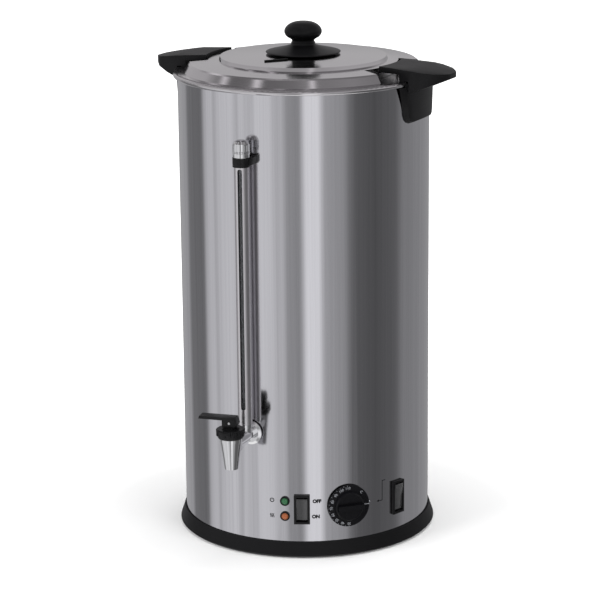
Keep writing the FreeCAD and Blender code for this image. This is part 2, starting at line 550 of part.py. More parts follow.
def build_tap():
    shank = drill("shank", "shank_rad", "tank_end", "tap_place", "tap_high")
    flange = radial("flange", [
        ("shell_rad + 2", "0"), ("shell_rad + 2", "flange_rad"),
        ("shell_rad + flange_thick", "flange_rad"), ("shell_rad + flange_thick + 1.6", "flange_rad - 3"),
        ("shell_rad + flange_thick + 1.6", "0")], "tap_high")
    socket = post("socket", "glass_rad + 1.3", "tap_high", "tap_high + 10", y="0 - gauge_place")
    spout = turned("spout", [
        ("0", "spout_low"), ("spout_low_rad", "spout_low"), ("spout_low_rad + 1.9", "spout_low + 14"),
        ("spout_rad", "spout_top - 4"), ("spout_rad", "spout_top"), ("0", "spout_top")],
        side="tap_place - spout_shift")
    web = new_body("web")
    sketch = new_sketch(web, "YZ_Plane")
    polygon(sketch, [("0 - shell_rad - 8", "tap_high"), ("0 - shell_rad - 8", "tap_high - shank_rad + 1"),
                     ("4 - tap_place", "tap_high - 15"), ("4 - tap_place", "tap_high")])
    pad(web, sketch, "8", both=True)
    thread = turned("thread", box_points("0", "thread_rad", "spout_top - 2", "thread_top"),
                    side="tap_place")
    chamber = turned("chamber", [
        ("0", "spout_low - 1"), ("outlet_rad + 0.6", "spout_low - 1"), ("outlet_rad", "seat_high"),
        ("chamber_rad", "seat_high"), ("chamber_rad", "thread_top + 2"), ("0", "thread_top + 2")],
        side="tap_place")
    bore = drill("shank_hole", "shank_bore", "tank_end - 1", "tap_place - 6", "tap_high + 2.4")
    well = post("gauge_well", "glass_rad + fit_gap", "glass_low - fit_gap", "tap_high + 12",
                y="0 - gauge_place")
    feed = post("gauge_feed", "2.5", "tap_high + 1", "tap_high + 12", y="0 - gauge_place")
    solid = step_by_step("tap_solid", "Part::Fuse", shank, [flange, socket, spout, web, thread])
    node("tap_body", step_by_step("tap_carved", "Part::Cut", solid, [chamber, bore, well, feed]))
    node("tap_gasket", radial("tap_gasket", [
        ("shell_rad + 0.35", "shank_rad + soft_gap"), ("shell_rad + 0.35", "flange_rad - 1"),
        ("shell_rad + 1.7", "flange_rad - 1"), ("shell_rad + 1.7", "shank_rad + soft_gap")],
        "tap_high"))
    node("tap_spacer", radial("tap_spacer", [
        ("tank_rad + 0.1", "shank_rad + fit_gap"), ("tank_rad + 0.1", "flange_rad - 1"),
        ("shell_rad - 1.7", "flange_rad - 1"), ("shell_rad - 1.7", "shank_rad + fit_gap")],
        "tap_high"))
    node("tank_seal", radial("tank_seal", [
        ("tank_rad - 5", "shank_rad + soft_gap"), ("tank_rad - 5", "flange_rad - 2"),
        ("tank_rad - 2.2", "flange_rad - 2"), ("tank_rad - 2.2", "shank_rad + soft_gap")],
        "tap_high"))
    nut = radial("nut_body", [
        ("tank_rad - 12", "shank_rad + fit_gap"), ("tank_rad - 12", "flange_rad - 1"),
        ("tank_rad - 5.3", "flange_rad - 1"), ("tank_rad - 5.3", "shank_rad + fit_gap")], "tap_high")
    node("tap_nut", nut)
    bonnet = turned("bonnet_body", [
        ("thread_rad + fit_gap", "bonnet_low"), ("bonnet_low_rad - 1", "bonnet_low"),
        ("bonnet_low_rad", "bonnet_low + 1.5"), ("bonnet_rad", "bonnet_top - 4"),
        ("bonnet_rad", "bonnet_top - 1.2"), ("bonnet_rad - 1.6", "bonnet_top"),
        ("stem_rad + fit_gap", "bonnet_top"), ("stem_rad + fit_gap", "bonnet_top - bonnet_roof"),
        ("thread_rad + fit_gap", "bonnet_top - bonnet_roof")], side="tap_place")
    flutes = []
    for i in range(12):
        flute = post("flute", "1.5", "140", "190")
        flute.setExpression("Placement.Base.x", "(Sizes.bonnet_rad + 0.4) * sin(%d * 30 deg)" % i)
        flute.setExpression("Placement.Base.y", "0 - Sizes.tap_place - (Sizes.bonnet_rad + 0.4)"
                            " * cos(%d * 30 deg)" % i)
        flutes.append(flute)
    node("tap_bonnet", less("tap_bonnet", bonnet, flutes))
    node("swivel_washer", turned("swivel_washer", box_points(
        "stem_rad + fit_gap", "bonnet_rad - 7", "bonnet_top + fit_gap",
        "bonnet_top + fit_gap + washer_thick"), side="tap_place"))
    stem = turned("stem_body", [
        ("0", "seat_high + 1.6"), ("cup_rad - 2.4", "seat_high + 1.6"), ("cup_rad - 2.4", "seat_high + 3.2"),
        ("stem_rad", "seat_high + 3.2"), ("stem_rad", "seat_high + cup_thick + 0.6"),
        ("cup_rad - 1", "seat_high + cup_thick + 0.6"), ("cup_rad - 1", "seat_high + cup_thick + 1.8"),
        ("stem_rad", "seat_high + cup_thick + 1.8"), ("stem_rad", "pivot_high + 2.9"),
        ("0", "pivot_high + 2.9")], side="tap_place")
    pin_hole = cross_pin("pin_hole", "pivot_rad + fit_gap", "12")
    node("tap_stem", less("tap_stem", stem, [pin_hole]))
    node("seat_cup", turned("seat_cup", [
        ("0", "seat_high + soft_gap"), ("cup_rad", "seat_high + soft_gap"),
        ("cup_rad", "seat_high + cup_thick"), ("stem_rad + soft_gap", "seat_high + cup_thick"),
        ("stem_rad + soft_gap", "seat_high + 3.5"), ("cup_rad - 2.1", "seat_high + 3.5"),
        ("cup_rad - 2.1", "seat_high + 1.3"), ("0", "seat_high + 1.3")], side="tap_place"))
    node("lever_pin", cross_pin("lever_pin", "pivot_rad", "hub_wide * 2 - 1"))


def cross_pin(name, radius, length):
    """A level pin across the stem, at right angles to the lever."""
    body = new_body(name)
    sketch = new_sketch(body, "XZ_Plane", offset="0 - (%s) / 2" % length)
    circle(sketch, "0", "pivot_high", radius)
    pad(body, sketch, length)
    body.Placement = Placement(Vector(0, 0, 0), Rotation(Vector(0, 0, 1), 1))
    body.setExpression("Placement.Rotation.Angle", named("lever_azimuth + 90"))
    body.setExpression("Placement.Base.y", named("0 - tap_place"))
    return body


def build_lever():
    hub = new_body("hub")
    sketch = new_sketch(hub, "XZ_Plane", offset="0 - hub_wide")
    polygon(sketch, [
        ("0 - hub_half + 1", "hub_low + 5"), ("0 - hub_half + 1.6", "hub_low + 1.2"),
        ("3 - hub_half", "hub_low"), ("4.4", "hub_low"), ("hub_half - 1.6", "hub_low + 2.2"),
        ("hub_half", "hub_low + 5"), ("hub_half - 2", "hub_top - 1"), ("hub_half - 3", "hub_top"),
        ("0 - hub_half + 1", "hub_top")])
    pad(hub, sketch, "hub_wide * 2")
    paddle = new_body("paddle")
    sketch = new_sketch(paddle, "XZ_Plane", offset="0 - lever_half")
    polygon(sketch, [
        ("0 - lever_long", "hub_top - lever_thick"), ("0 - hub_half + 2", "hub_top - lever_thick - 0.3"),
        ("0 - hub_half + 2", "hub_top"), ("0 - lever_long + 1", "hub_top")])
    pad(paddle, sketch, "lever_half * 2")
    slot = new_body("fork")
    sketch = new_sketch(slot, "XZ_Plane", offset="0 - stem_rad - free_gap")
    polygon(sketch, [
        ("0 - stem_rad - 2.4", "hub_low - 2"), ("stem_rad + 3.4", "hub_low - 2"),
        ("stem_rad + 3.4", "pivot_high + 3.9"), ("0 - stem_rad - 2.4", "pivot_high + 3.9")])
    pad(slot, sketch, "2 * (stem_rad + free_gap)")
    hole = new_body("lever_hole")
    sketch = new_sketch(hole, "XZ_Plane", offset="0 - 20")
    circle(sketch, "0", "pivot_high", "pivot_rad + fit_gap")
    pad(hole, sketch, "40")
    solid = less("tap_lever", together("lever_solid", [hub, paddle]), [slot, hole])
    solid.Placement = Placement(Vector(0, 0, 0), Rotation(Vector(0, 0, 1), 1))
    solid.setExpression("Placement.Rotation.Angle", named("lever_azimuth + 90"))
    solid.setExpression("Placement.Base.y", named("0 - tap_place"))
    node("tap_lever", solid)
    low = "seat_high + cup_thick + 1.8 + wire_rad + fit_gap"
    span = "bonnet_top - bonnet_roof - wire_rad - fit_gap - (%s)" % low
    helix = doc.addObject("Part::Helix", "coil_path")
    helix.setExpression("Radius", named("coil_rad - 1"))
    helix.setExpression("Pitch", named("(%s) / coil_turns" % span))
    helix.setExpression("Height", named(span))
    helix.setExpression("Placement.Base.z", named(low))
    helix.setExpression("Placement.Base.y", named("0 - tap_place"))
    wire = doc.addObject("Part::RegularPolygon", "coil_wire")
    wire.Polygon = 4
    wire.setExpression("Circumradius", named("wire_rad"))
    wire.Placement = Placement(Vector(0, 0, 0), Rotation(Vector(1, 0, 0), 90))
    wire.setExpression("Placement.Base.x", named("coil_rad - 1"))
    wire.setExpression("Placement.Base.y", named("0 - tap_place"))
    wire.setExpression("Placement.Base.z", named(low))
    coil = doc.addObject("Part::Sweep", "tap_spring")
    coil.Sections = [wire]
    coil.Spine = (helix, [])
    coil.Solid = True
    coil.Frenet = True
    node("tap_spring", coil)


def build_lamp(label, high):
    node(label + "_bezel", radial(label + "_bezel", [
        ("barrel_end", "0"), ("barrel_end", "barrel_rad"), ("shell_rad + 0.2", "barrel_rad"),
        ("shell_rad + 0.2", "bezel_rad"), ("shell_rad + 1.4", "bezel_rad"),
        ("shell_rad + 2.2", "bezel_rad - 0.8"), ("shell_rad + 2.2", "lens_rad + fit_gap"),
        ("shell_rad - 2", "lens_rad + fit_gap"), ("shell_rad - 2", "0")], high, "lamp_azimuth"))
    node(label + "_lens", radial(label + "_lens", [
        ("shell_rad - 1.95", "0"), ("shell_rad - 1.95", "lens_rad"), ("shell_rad + 1.9", "lens_rad"),
        ("shell_rad + 3", "lens_rad - 1"), ("shell_rad + 3.6", "lens_rad - 2.6"),
        ("shell_rad + 3.7", "0")], high, "lamp_azimuth"))


def build_switch(tag, frame_label, rocker_label):
    half = tag + "_half"
    tall = tag + "_tall"
    high = tag + "_high"
    turn = tag + "_azimuth"
    bezel = panel("bezel", box_points("0 - " + half, half, high + " - " + tall, high + " + " + tall),
                  "shell_rad + 0.1", "shell_rad + frame_proud")
    body = panel("switch_body", box_points(
        "1.4 - " + half, half + " - 1.4", "%s - %s + 1.4" % (high, tall),
        "%s + %s - 1.4" % (high, tall)), "switch_end", "shell_rad + 1")
    window = panel("window", box_points(
        "frame_wall - " + half, half + " - frame_wall", "%s - %s + frame_wall" % (high, tall),
        "%s + %s - frame_wall" % (high, tall)), "pivot_place - 7", "far_side")
    axle = cross_axle("axle_hole", "trunnion_rad + fit_gap", "2 * (%s) - 3.6" % half, high)
    frame = less(frame_label, together("frame_solid", [bezel, body]), [window, axle])
    spin(frame, turn)
    node(frame_label, frame)
    long = "(%s - frame_wall - 1.6)" % tall
    rocker = new_body("rocker")
    sketch = new_sketch(rocker, "YZ_Plane", offset="frame_wall + 0.3 - " + half, rise=high)
    profile = [
        ("pivot_place - 2.6", "0 - 6"), ("pivot_place - 1", "1 - " + long),
        ("shell_rad + 0.4", "0 - " + long), ("shell_rad + 1.6", "0.8 - " + long),
        ("shell_rad + 2.2", "0"), ("shell_rad + 4.4", long + " - 1"),
        ("shell_rad + 3.4", long), ("pivot_place - 1", long + " - 1"), ("pivot_place - 2.6", "6")]
    polygon(sketch, [("0 - (%s)" % r, z) for r, z in profile])
    pad(rocker, sketch, "2 * (%s - frame_wall - 0.3)" % half)
    stub = cross_axle("stub", "trunnion_rad", "2 * (%s) - 4" % half, high)
    piece = together(rocker_label, [rocker, stub])
    spin(piece, turn)
    node(rocker_label, piece)


def cross_axle(name, radius, length, high):
    """A level axle along the front of the shell."""
    body = new_body(name)
    sketch = new_sketch(body, "YZ_Plane", offset="0 - (%s) / 2" % length, rise=high)
    circle(sketch, "0 - pivot_place", "0", radius)
    pad(body, sketch, length)
    return body


def build_dial():
    face = radial("dial_face", [
        ("dial_back", "shaft_rad + fit_gap"), ("dial_back", "dial_rad - 0.4"),
        ("dial_back + 1", "dial_rad"), ("dial_back + rim_thick - 0.8", "dial_rad - 0.2"),
        ("dial_back + rim_thick", "hub_rad + 1"), ("hub_out - 6.5", "hub_rad"),
        ("hub_out - 5", "hub_rad - 1.4"), ("hub_out - 5", "0"), ("hub_out - 7", "0"),
        ("hub_out - 7", "shaft_rad + fit_gap")], "dial_high")
    grip = panel("grip_bar", box_points("0 - hub_rad + 1.2", "hub_rad - 1.2", "dial_high - 3.2",
                                        "dial_high + 3.2"), "hub_out - 7", "hub_out")
    knob = together("temperature_dial", [face, grip])
    spin(knob, "dial_azimuth")
    node("temperature_dial", knob)
    node("dial_shaft", drill("dial_shaft", "shaft_rad", "shaft_in", "hub_out - 7.1", "dial_high",
                             azimuth="dial_azimuth"))
    case = panel("stat_case", box_points("0 - stat_half", "stat_half", "dial_high - stat_tall",
                                         "dial_high + stat_tall"), "stat_in", "stat_out")
    bush = drill("stat_bush", "shaft_rad + 1.8", "stat_out - 1", "dial_back - 0.8", "dial_high")
    bore = drill("stat_bore", "shaft_rad + fit_gap", "shaft_in - 0.2", "far_side", "dial_high")
    pilots = [drill("stat_pilot", "1.5 + fit_gap", "stat_out - 6", "far_side", "dial_high", side=side)
              for side in ("14", "0 - 14")]
    stat = less("thermostat_case", together("stat_solid", [case, bush]), [bore] + pilots)
    spin(stat, "dial_azimuth")
    node("thermostat_case", stat)
    strip = shared("stat_strip", [
        turned("strip_ring", box_points("stat_out + 1.6", "shell_rad - sheet_thick - fit_gap",
                                        "dial_high - 9", "dial_high + 9")),
        panel("strip_width", box_points("0 - 19", "19", "20", "110"), "stat_out + fit_gap", "far_side")])
    holes = [drill("strip_bore", "shaft_rad + 1.8 + fit_gap", "near_side", "far_side", "dial_high")]
    holes += [drill("strip_hole", "1.5 + fit_gap", "near_side", "far_side", "dial_high", side=side)
              for side in ("14", "0 - 14")]
    spacer = less("thermostat_saddle", strip, holes)
    spin(spacer, "dial_azimuth")
    node("thermostat_saddle", spacer)
    screws = []
    for side in ("14", "0 - 14"):
        shank = drill("stat_shank", "1.5", "stat_out - 5.9", "shell_rad", "dial_high", side=side)
        head = drill("stat_head", "2.9", "shell_rad - 0.35", "shell_rad + 0.7", "dial_high",
                     side=side)
        screws.append(spin(together("stat_screw", [shank, head]), "dial_azimuth"))
    node("thermostat_screws", several("thermostat_screws", screws))


def build_heating():
    node("heat_spreader", less("heat_spreader", turned("spreader", box_points(
        "0", "spreader_rad", "tank_floor - 1 - spreader_thick", "tank_floor - 1.05")), [
        post("stud_hole", "stud_rad + fit_gap", "90", "120"),
        post("bulb_groove", "bulb_rad + 1.2", "90", "120", y="bulb_place")]))
    ring = new_body("element_ring")
    sketch = new_sketch(ring, "YZ_Plane")
    circle(sketch, "0 - element_rad", "tank_floor - spreader_thick - 1.1 - sheath_rad", "sheath_rad")
    turn = revolve(ring, sketch, angle=330)
    ends = []
    for sign in ("1", "0 - 1"):
        tail = post("tail", "sheath_rad - 1.2", "82", "tank_floor - spreader_thick - 1.1 - sheath_rad")
        tail.setExpression("Placement.Base.x",
                           named("(%s) * element_rad" % sign) + " * sin(163 deg)")
        tail.setExpression("Placement.Base.y", named("0 - element_rad") + " * cos(163 deg)")
        ends.append(tail)
    node("heating_element", together("heating_element", [ring] + ends))
    bar = slab("clamp_plate", box_points("0 - clamp_bar_half", "clamp_bar_half", "0 - 11", "11"),
               "tank_floor - spreader_thick - 1.2 - 2 * sheath_rad - 3",
               "tank_floor - spreader_thick - 1.2 - 2 * sheath_rad")
    node("element_clamp", less("element_clamp", bar, [
        post("bar_hole", "stud_rad + fit_gap", "80", "120")]))
    node("tank_stud", post("tank_stud", "stud_rad", "86", "tank_floor - 1.05"))
    nut = slab("nut_hex", [("0 - 7", "0 - 4"), ("0", "0 - 8.1"), ("7", "0 - 4"), ("7", "4"),
                           ("0", "8.1"), ("0 - 7", "4")], "88.4", "94.7")
    node("stud_nut", less("stud_nut", nut, [post("nut_bore", "stud_rad + fit_gap", "80", "100")]))
    node("boil_dry_cutout", turned("boil_dry_cutout", [
        ("0", "tank_floor - spreader_thick - cutout_deep - 1.1"),
        ("cutout_rad - 3", "tank_floor - spreader_thick - cutout_deep - 1.1"),
        ("cutout_rad - 3", "tank_floor - spreader_thick - 7"),
        ("cutout_rad", "tank_floor - spreader_thick - 7"),
        ("cutout_rad", "tank_floor - spreader_thick - 1.1"),
        ("0", "tank_floor - spreader_thick - 1.1")], side="cutout_place"))
    node("sensing_bulb", post("sensing_bulb", "bulb_rad", "82", "tank_floor - 1.05", y="bulb_place"))
    block = slab("block", box_points("0 - block_half", "block_half", "76", "96"),
                 "shell_low + plate_thick + fit_gap", "shell_low + 19")
    grooves = [slab("block_groove", box_points("%d" % x, "%d" % (x + 8), "70", "100"),
                    "shell_low + 13", "shell_low + 25") for x in (-24, -10, 4, 18)]
    node("terminal_block", less("terminal_block", block, grooves[:3]))


def build_gland():
    node("cord_gland", radial("cord_gland", [
        ("shell_rad - 12", "gland_bore"), ("shell_rad - 12", "gland_thread"),
        ("shell_rad + 0.1", "gland_thread"), ("shell_rad + 0.1", "gland_rad"),
        ("shell_rad + 4", "gland_rad"), ("shell_rad + 7", "gland_rad - 2.5"),
        ("shell_rad + 13", "gland_rad - 4.5"), ("shell_rad + 13", "gland_bore")],
        "gland_high", "gland_azimuth"))
    node("gland_nut", radial("gland_nut", [
        ("shell_rad - 7", "gland_thread + fit_gap"), ("shell_rad - 7", "gland_rad"),
        ("shell_rad - 1.6", "gland_rad"), ("shell_rad - 1.6", "gland_thread + fit_gap")],
        "gland_high", "gland_azimuth"))


build_shell()
build_tank()
build_base()
build_lid()
build_handle("right_handle", "handle_azimuth")
build_handle("left_handle", "0 - handle_azimuth")
build_grip_fixings()
build_gauge()
build_tap()
build_lever()
build_lamp("power", "power_high")
build_lamp("heating", "heat_high")
build_switch("switch", "main_switch_frame", "main_rocker")
build_switch("mode", "mode_switch_frame", "mode_rocker")
build_dial()
build_heating()
build_gland()
doc.recompute()

faults = []
for item in doc.Objects:
    if "Invalid" in item.State or "Error" in item.State:
        faults.append("%s %s" % (item.Name, item.State))
for item in nodes:
    if item.Shape.isNull() or not item.Shape.isValid() or not item.Shape.Solids:
        faults.append("%s has no sound solid" % item.Label)
if faults:
    raise RuntimeError("; ".join(faults))

os.makedirs("parts", exist_ok=True)
for item in nodes:
    item.Shape.exportStep("parts/%s.step" % item.Label)
    print("%-20s solids %d volume %.0f mm3" % (item.Label, len(item.Shape.Solids),
                                               item.Shape.Volume))
print(len(nodes), "nodes")
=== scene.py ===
"""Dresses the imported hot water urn: its finishes, printed marks, small repeats, studio and camera."""
import math

import bmesh
import bpy
from bpy.props import FloatProperty, FloatVectorProperty, IntProperty, PointerProperty
from mathutils import Matrix, Vector


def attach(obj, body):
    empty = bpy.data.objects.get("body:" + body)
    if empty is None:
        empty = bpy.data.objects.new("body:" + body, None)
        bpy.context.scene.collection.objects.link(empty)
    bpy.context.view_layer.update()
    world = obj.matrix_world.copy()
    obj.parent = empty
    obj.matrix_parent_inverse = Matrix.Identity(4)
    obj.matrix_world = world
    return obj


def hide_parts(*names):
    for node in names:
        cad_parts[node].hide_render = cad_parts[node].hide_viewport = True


bl_info = {
    "name": "Hot water urn",
    "version": (1, 0, 0),
    "blender": (4, 5, 0),
    "location": "3D View > Sidebar > Urn",
    "description": "Finishes, marks and studio for the hot water urn",
    "category": "Object",
}

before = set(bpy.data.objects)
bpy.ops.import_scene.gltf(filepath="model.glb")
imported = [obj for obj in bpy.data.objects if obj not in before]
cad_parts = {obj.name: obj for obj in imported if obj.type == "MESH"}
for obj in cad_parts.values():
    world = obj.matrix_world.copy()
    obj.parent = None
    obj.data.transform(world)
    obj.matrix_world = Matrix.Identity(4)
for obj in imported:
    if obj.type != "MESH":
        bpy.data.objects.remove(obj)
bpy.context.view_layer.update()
MM = 0.001

# Places on the urn, in metres and degrees. The tap is at azimuth 0 and +X at azimuth 90.
SHELL_RADIUS = 0.150
LAMP_AZIMUTH = 15.6
LAMP_HIGHS = {"power": 0.0697, "heating": 0.0509}
LENS_RADIUS = 5.2 * MM
DIAL_AZIMUTH = 44.5
DIAL_HIGH = 0.0620
DIAL_FACE = 0.1540
WORD_PLACES = {"OFF": (30.1, 0.0694), "ON": (29.6, 0.0503)}
POWER_PLACE = (9.6, 0.0700)
HEATING_PLACE = (9.6, 0.0508)
ARROW_PLACE = (60.8, 0.0668)
INDEX_PLACE = (DIAL_AZIMUTH + 10.7, 0.0625)
CAP_AXIS = (0.0, -0.1652, 0.4930)
BONNET_AXIS = (0.0, -0.2028, 0.1672)
VENT_PLACE = 0.0605
VENT_AZIMUTH = -5.8
VENT_TURN = 42.4
CROWN_HIGH = 0.5810
CROWN_FALL = 3.7 / 99.0
SEAM_AZIMUTH = 180.0
SEAM_LOW = 0.052
SEAM_TOP = 0.5525
BEAD_RADIUS = 152.2 * MM
BEAD_ROLL = 2.95 * MM
BEAD_HIGH = 556.9 * MM

# Outlines of the lid's knob and of its shield, as (radius, height) in millimetres.
KNOB_BULB = ((0.0, 617.7), (6.0, 617.5), (12.0, 616.4), (17.0, 614.0), (20.6, 610.6), (22.3, 606.6),
             (21.7, 602.8), (19.2, 599.6), (15.6, 597.4), (13.6, 595.8), (13.2, 594.0))
KNOB_COLLAR = ((13.2, 593.2), (14.2, 593.1))
KNOB_SHIELD = ((14.3, 592.8), (14.4, 591.0), (16.0, 589.6), (22.0, 587.6), (30.0, 585.6),
               (38.0, 583.8), (43.0, 582.6), (44.5, 581.8), (44.0, 581.05))
KNOB_FOOT = (0.0, 581.05)

# Densities of the finishes' noise, in cells per metre, and depths of their bumps, in metres.
SHELL_GRAIN = (900.0, 900.0, 5.0)
TANK_GRAIN = (500.0, 500.0, 60.0)
TUBE_GRAIN = (1500.0, 1500.0, 10.0)
CAST_GRAIN = (260.0,) * 3
SMEARS = (9.0, 9.0, 7.0)
WIPES = (26.0, 26.0, 40.0)
RIPPLES = (12.0,) * 3
RINGS = 2600.0
SMUDGES = (55.0,) * 3
PATCHES = (30.0,) * 3
CRYSTALS = (120.0,) * 3
TINTS = (28.0,) * 3
FACETS = (850.0,) * 3
DRAWN_LINES = (500.0, 500.0, 8.0)
MOTTLE = (900.0,) * 3
GRAIN_DEEP = 0.0002
PIT_DEEP = 0.0003
DENT_DEEP = 0.0006
FACET_DEEP = 0.0004
PRINT_DEEP = 0.0001

# Colours of the inner and small parts, which the photograph doesn't show or shows as near black.
BRASS = (0.72, 0.53, 0.25)
COPPER = (0.72, 0.38, 0.24)
FASTENER = (0.6, 0.6, 0.61)
SHEET = (0.55, 0.56, 0.57)
CASTING = (0.72, 0.72, 0.73)
SHEATH = (0.35, 0.32, 0.30)
RUBBER = (0.018, 0.018, 0.018)
SILICONE = (0.68, 0.66, 0.60)
PHENOLIC = (0.10, 0.06, 0.04)
NYLON = (0.75, 0.73, 0.66)
DIAL_BLACK = (0.003, 0.003, 0.004)
# The gauge glass is tinted dark grey: painted shade for the dark inside of the gauge tube.
GLASS_TINT_AND_SHADE = (0.30, 0.31, 0.33)
ROCKER_SMOKE = (0.035, 0.035, 0.036)
# Black of the plate in the lid's vent slot: painted shade for the dark inside under the vent.
VENT_SHADE_BLACK = (0.004, 0.004, 0.004)
DARK = (0.0, 0.0, 0.0)

# Edges sharper than these angles are rounded, or stay sharp in the shading.
ROUND_ANGLE = math.radians(34.0)
SHARP_ANGLE = math.radians(32.0)
FLAT_ANGLE = math.radians(0.5)
CAPITAL_SCALE = 1.4
TEXT_STEPS = 4
BUTTON_SIDES = 20
BUTTON_TOP = 0.6 * MM

# Studio: white floor, reflection tent, and lamps as name, place, width and power.
# The next four are each a slope and an offset: the floor's fade and glow, the tent's soft edges.
FADE = (1.6, 0.4)
LIFT = (0.85, 0.06)
CARD_EDGE = (4.0, 2.4)
ROOF_EDGE = (3.0, 4.2)
FLOOR_RADIUS = 9.0
FLOOR_PAINT = (0.93, 0.93, 0.93, 1.0)
WHITE = (1.0, 1.0, 1.0, 1.0)
TENT_RADIUS = 1.7
TENT_LOW = -2.4
TENT_TOP = 2.3
TENT_TURNS = 96
CARD_TOPS = (0.50, 0.49, 0.50)
CARD_TINT = (1.0, 1.0, 1.02)
SPOT_TINT = (1.0, 0.97, 1.0)
CLIP_END = 50.0
STUDIO_AIM = Vector((0.0, 0.0, 0.3))
SKY_STRENGTH = 0.5
LAMPS = (("key", (-1.6, -2.6, 2.0), 1.6, 62.0), ("fill", (3.0, -1.4, 1.6), 1.8, 46.0),
         ("overhead", (0.2, 0.3, 3.0), 1.6, 42.0))

# Brightness round the tent, as (degrees from the camera's side, value): cards, then roof spots.
CARD_BANDS = ((-180, 0.34), (-150, 0.42), (-133, 0.42), (-128, 0.22), (-103, 0.19), (-99, 0.60),
              (-90, 0.72), (-86, 0.54), (-82, 0.70), (-66, 0.80), (-62, 0.56), (-58, 0.76),
              (-46, 0.62), (-42, 0.82), (-30, 0.80), (-27, 0.62), (-20, 0.66), (-15, 0.40),
              (-4, 0.34), (1, 1.0), (12, 1.0), (17, 0.46), (34, 0.40), (40, 0.22), (46, 0.14),
              (64, 0.11), (88, 0.15), (98, 0.28), (140, 0.34), (179, 0.34))
ROOF_SPOTS = ((-180, 0.26), (-140, 0.20), (-132, 0.95), (-124, 0.16), (-100, 0.20), (-94, 0.9),
              (-88, 0.15), (-64, 0.2), (-58, 1.0), (-50, 0.16), (-10, 0.22), (6, 0.28), (11, 1.0),
              (17, 0.24), (60, 0.30), (110, 0.2), (179, 0.26))

# The photograph's camera, in degrees, metres, radians and pixels.
CAMERA_AZIMUTH = 25.7
CAMERA_OUT = 2.84397
CAMERA_HIGH = 1.01932
CAMERA_YAW = -0.0002
CAMERA_PITCH = 0.2576
CAMERA_ROLL = -0.0089
FOCAL_PIXELS = 2410.43
IMAGE_SIDE = 610
SENSOR = 36.0


class UrnSizes(bpy.types.PropertyGroup):
    """Sizes that a user may change."""
    edge_round: FloatProperty(name="Handle edge", description="Rounding on the side grips",
                              default=1.3 * MM, unit="LENGTH")
    trim_round: FloatProperty(name="Trim edge", description="Rounding on lever, clamp and switches",
                              default=0.45 * MM, unit="LENGTH")
    print_thick: FloatProperty(name="Print thickness", description="Height of the printed marks",
                               default=0.08 * MM, unit="LENGTH")
    letter_high: FloatProperty(name="Letter height", description="Size of the switch words",
                               default=4.1 * MM, unit="LENGTH")
    number_high: FloatProperty(name="Number height", description="Size of the dial numbers",
                               default=3.1 * MM, unit="LENGTH")
    tick_count: IntProperty(name="Dial ticks", description="Ticks along the dial's rim",
                            default=17, min=2)
    cap_ribs: IntProperty(name="Cap flutes", description="Flutes round the gauge cap",
                          default=22, min=3)
    bonnet_ribs: IntProperty(name="Bonnet ribs", description="Ribs round the tap's bonnet",
                             default=8, min=3)
    weld_count: IntProperty(name="Spot welds", description="Welds down the rear seam",
                            default=27, min=2)
    seam_wide: FloatProperty(name="Seam width", description="Width of the lap seam at the back",
                             default=9.0 * MM, unit="LENGTH")


class UrnColours(bpy.types.PropertyGroup):
    """Colours that a user may change."""
    steel: FloatVectorProperty(name="Steel", description="Brushed outer steel", size=3,
                               subtype="COLOR", default=(0.60, 0.595, 0.62))
    polished: FloatVectorProperty(name="Polished steel", description="Lid and rim", size=3,
                                  subtype="COLOR", default=(0.64, 0.625, 0.64))
    chrome: FloatVectorProperty(name="Chrome", description="Tap and gauge fittings", size=3,
                                subtype="COLOR", default=(0.80, 0.80, 0.81))
    plastic: FloatVectorProperty(name="Black plastic", description="Grips, knob and base", size=3,
                                 subtype="COLOR", default=(0.0045, 0.0045, 0.005))
    green: FloatVectorProperty(name="Power lens", description="Upper lamp", size=3,
                               subtype="COLOR", default=(0.012, 0.110, 0.035))
    amber: FloatVectorProperty(name="Heating lens", description="Lower lamp", size=3,
                               subtype="COLOR", default=(0.330, 0.085, 0.020))
    ink: FloatVectorProperty(name="Dark print", description="Marks on the steel", size=3,
                             subtype="COLOR", default=(0.008, 0.008, 0.009))
    white_ink: FloatVectorProperty(name="White print", description="Marks on black parts", size=3,
                                   subtype="COLOR", default=(0.38, 0.39, 0.42))


class Socket:
    """An output socket; arithmetic on it adds Math nodes to its tree."""

    def __init__(self, finish, output):
        self.finish = finish
        self.output = output

    def maths(self, operation, first, second=0.0):
        return self.finish.add("ShaderNodeMath", {0: first, 1: second}, operation=operation)

    def __add__(self, other):
        return self.maths("ADD", self, other)

    def __sub__(self, other):
        return self.maths("SUBTRACT", self, other)

    def __rsub__(self, other):
        return self.maths("SUBTRACT", other, self)

    def __mul__(self, other):
        return self.maths("MULTIPLY", self, other)

    def __truediv__(self, other):
        return self.maths("DIVIDE", self, other)

    def __pow__(self, other):
        return self.maths("POWER", self, other)

    def least(self, other):
        return self.maths("MINIMUM", self, other)

    def bearing(self, other):
        return self.maths("ARCTAN2", self, other)


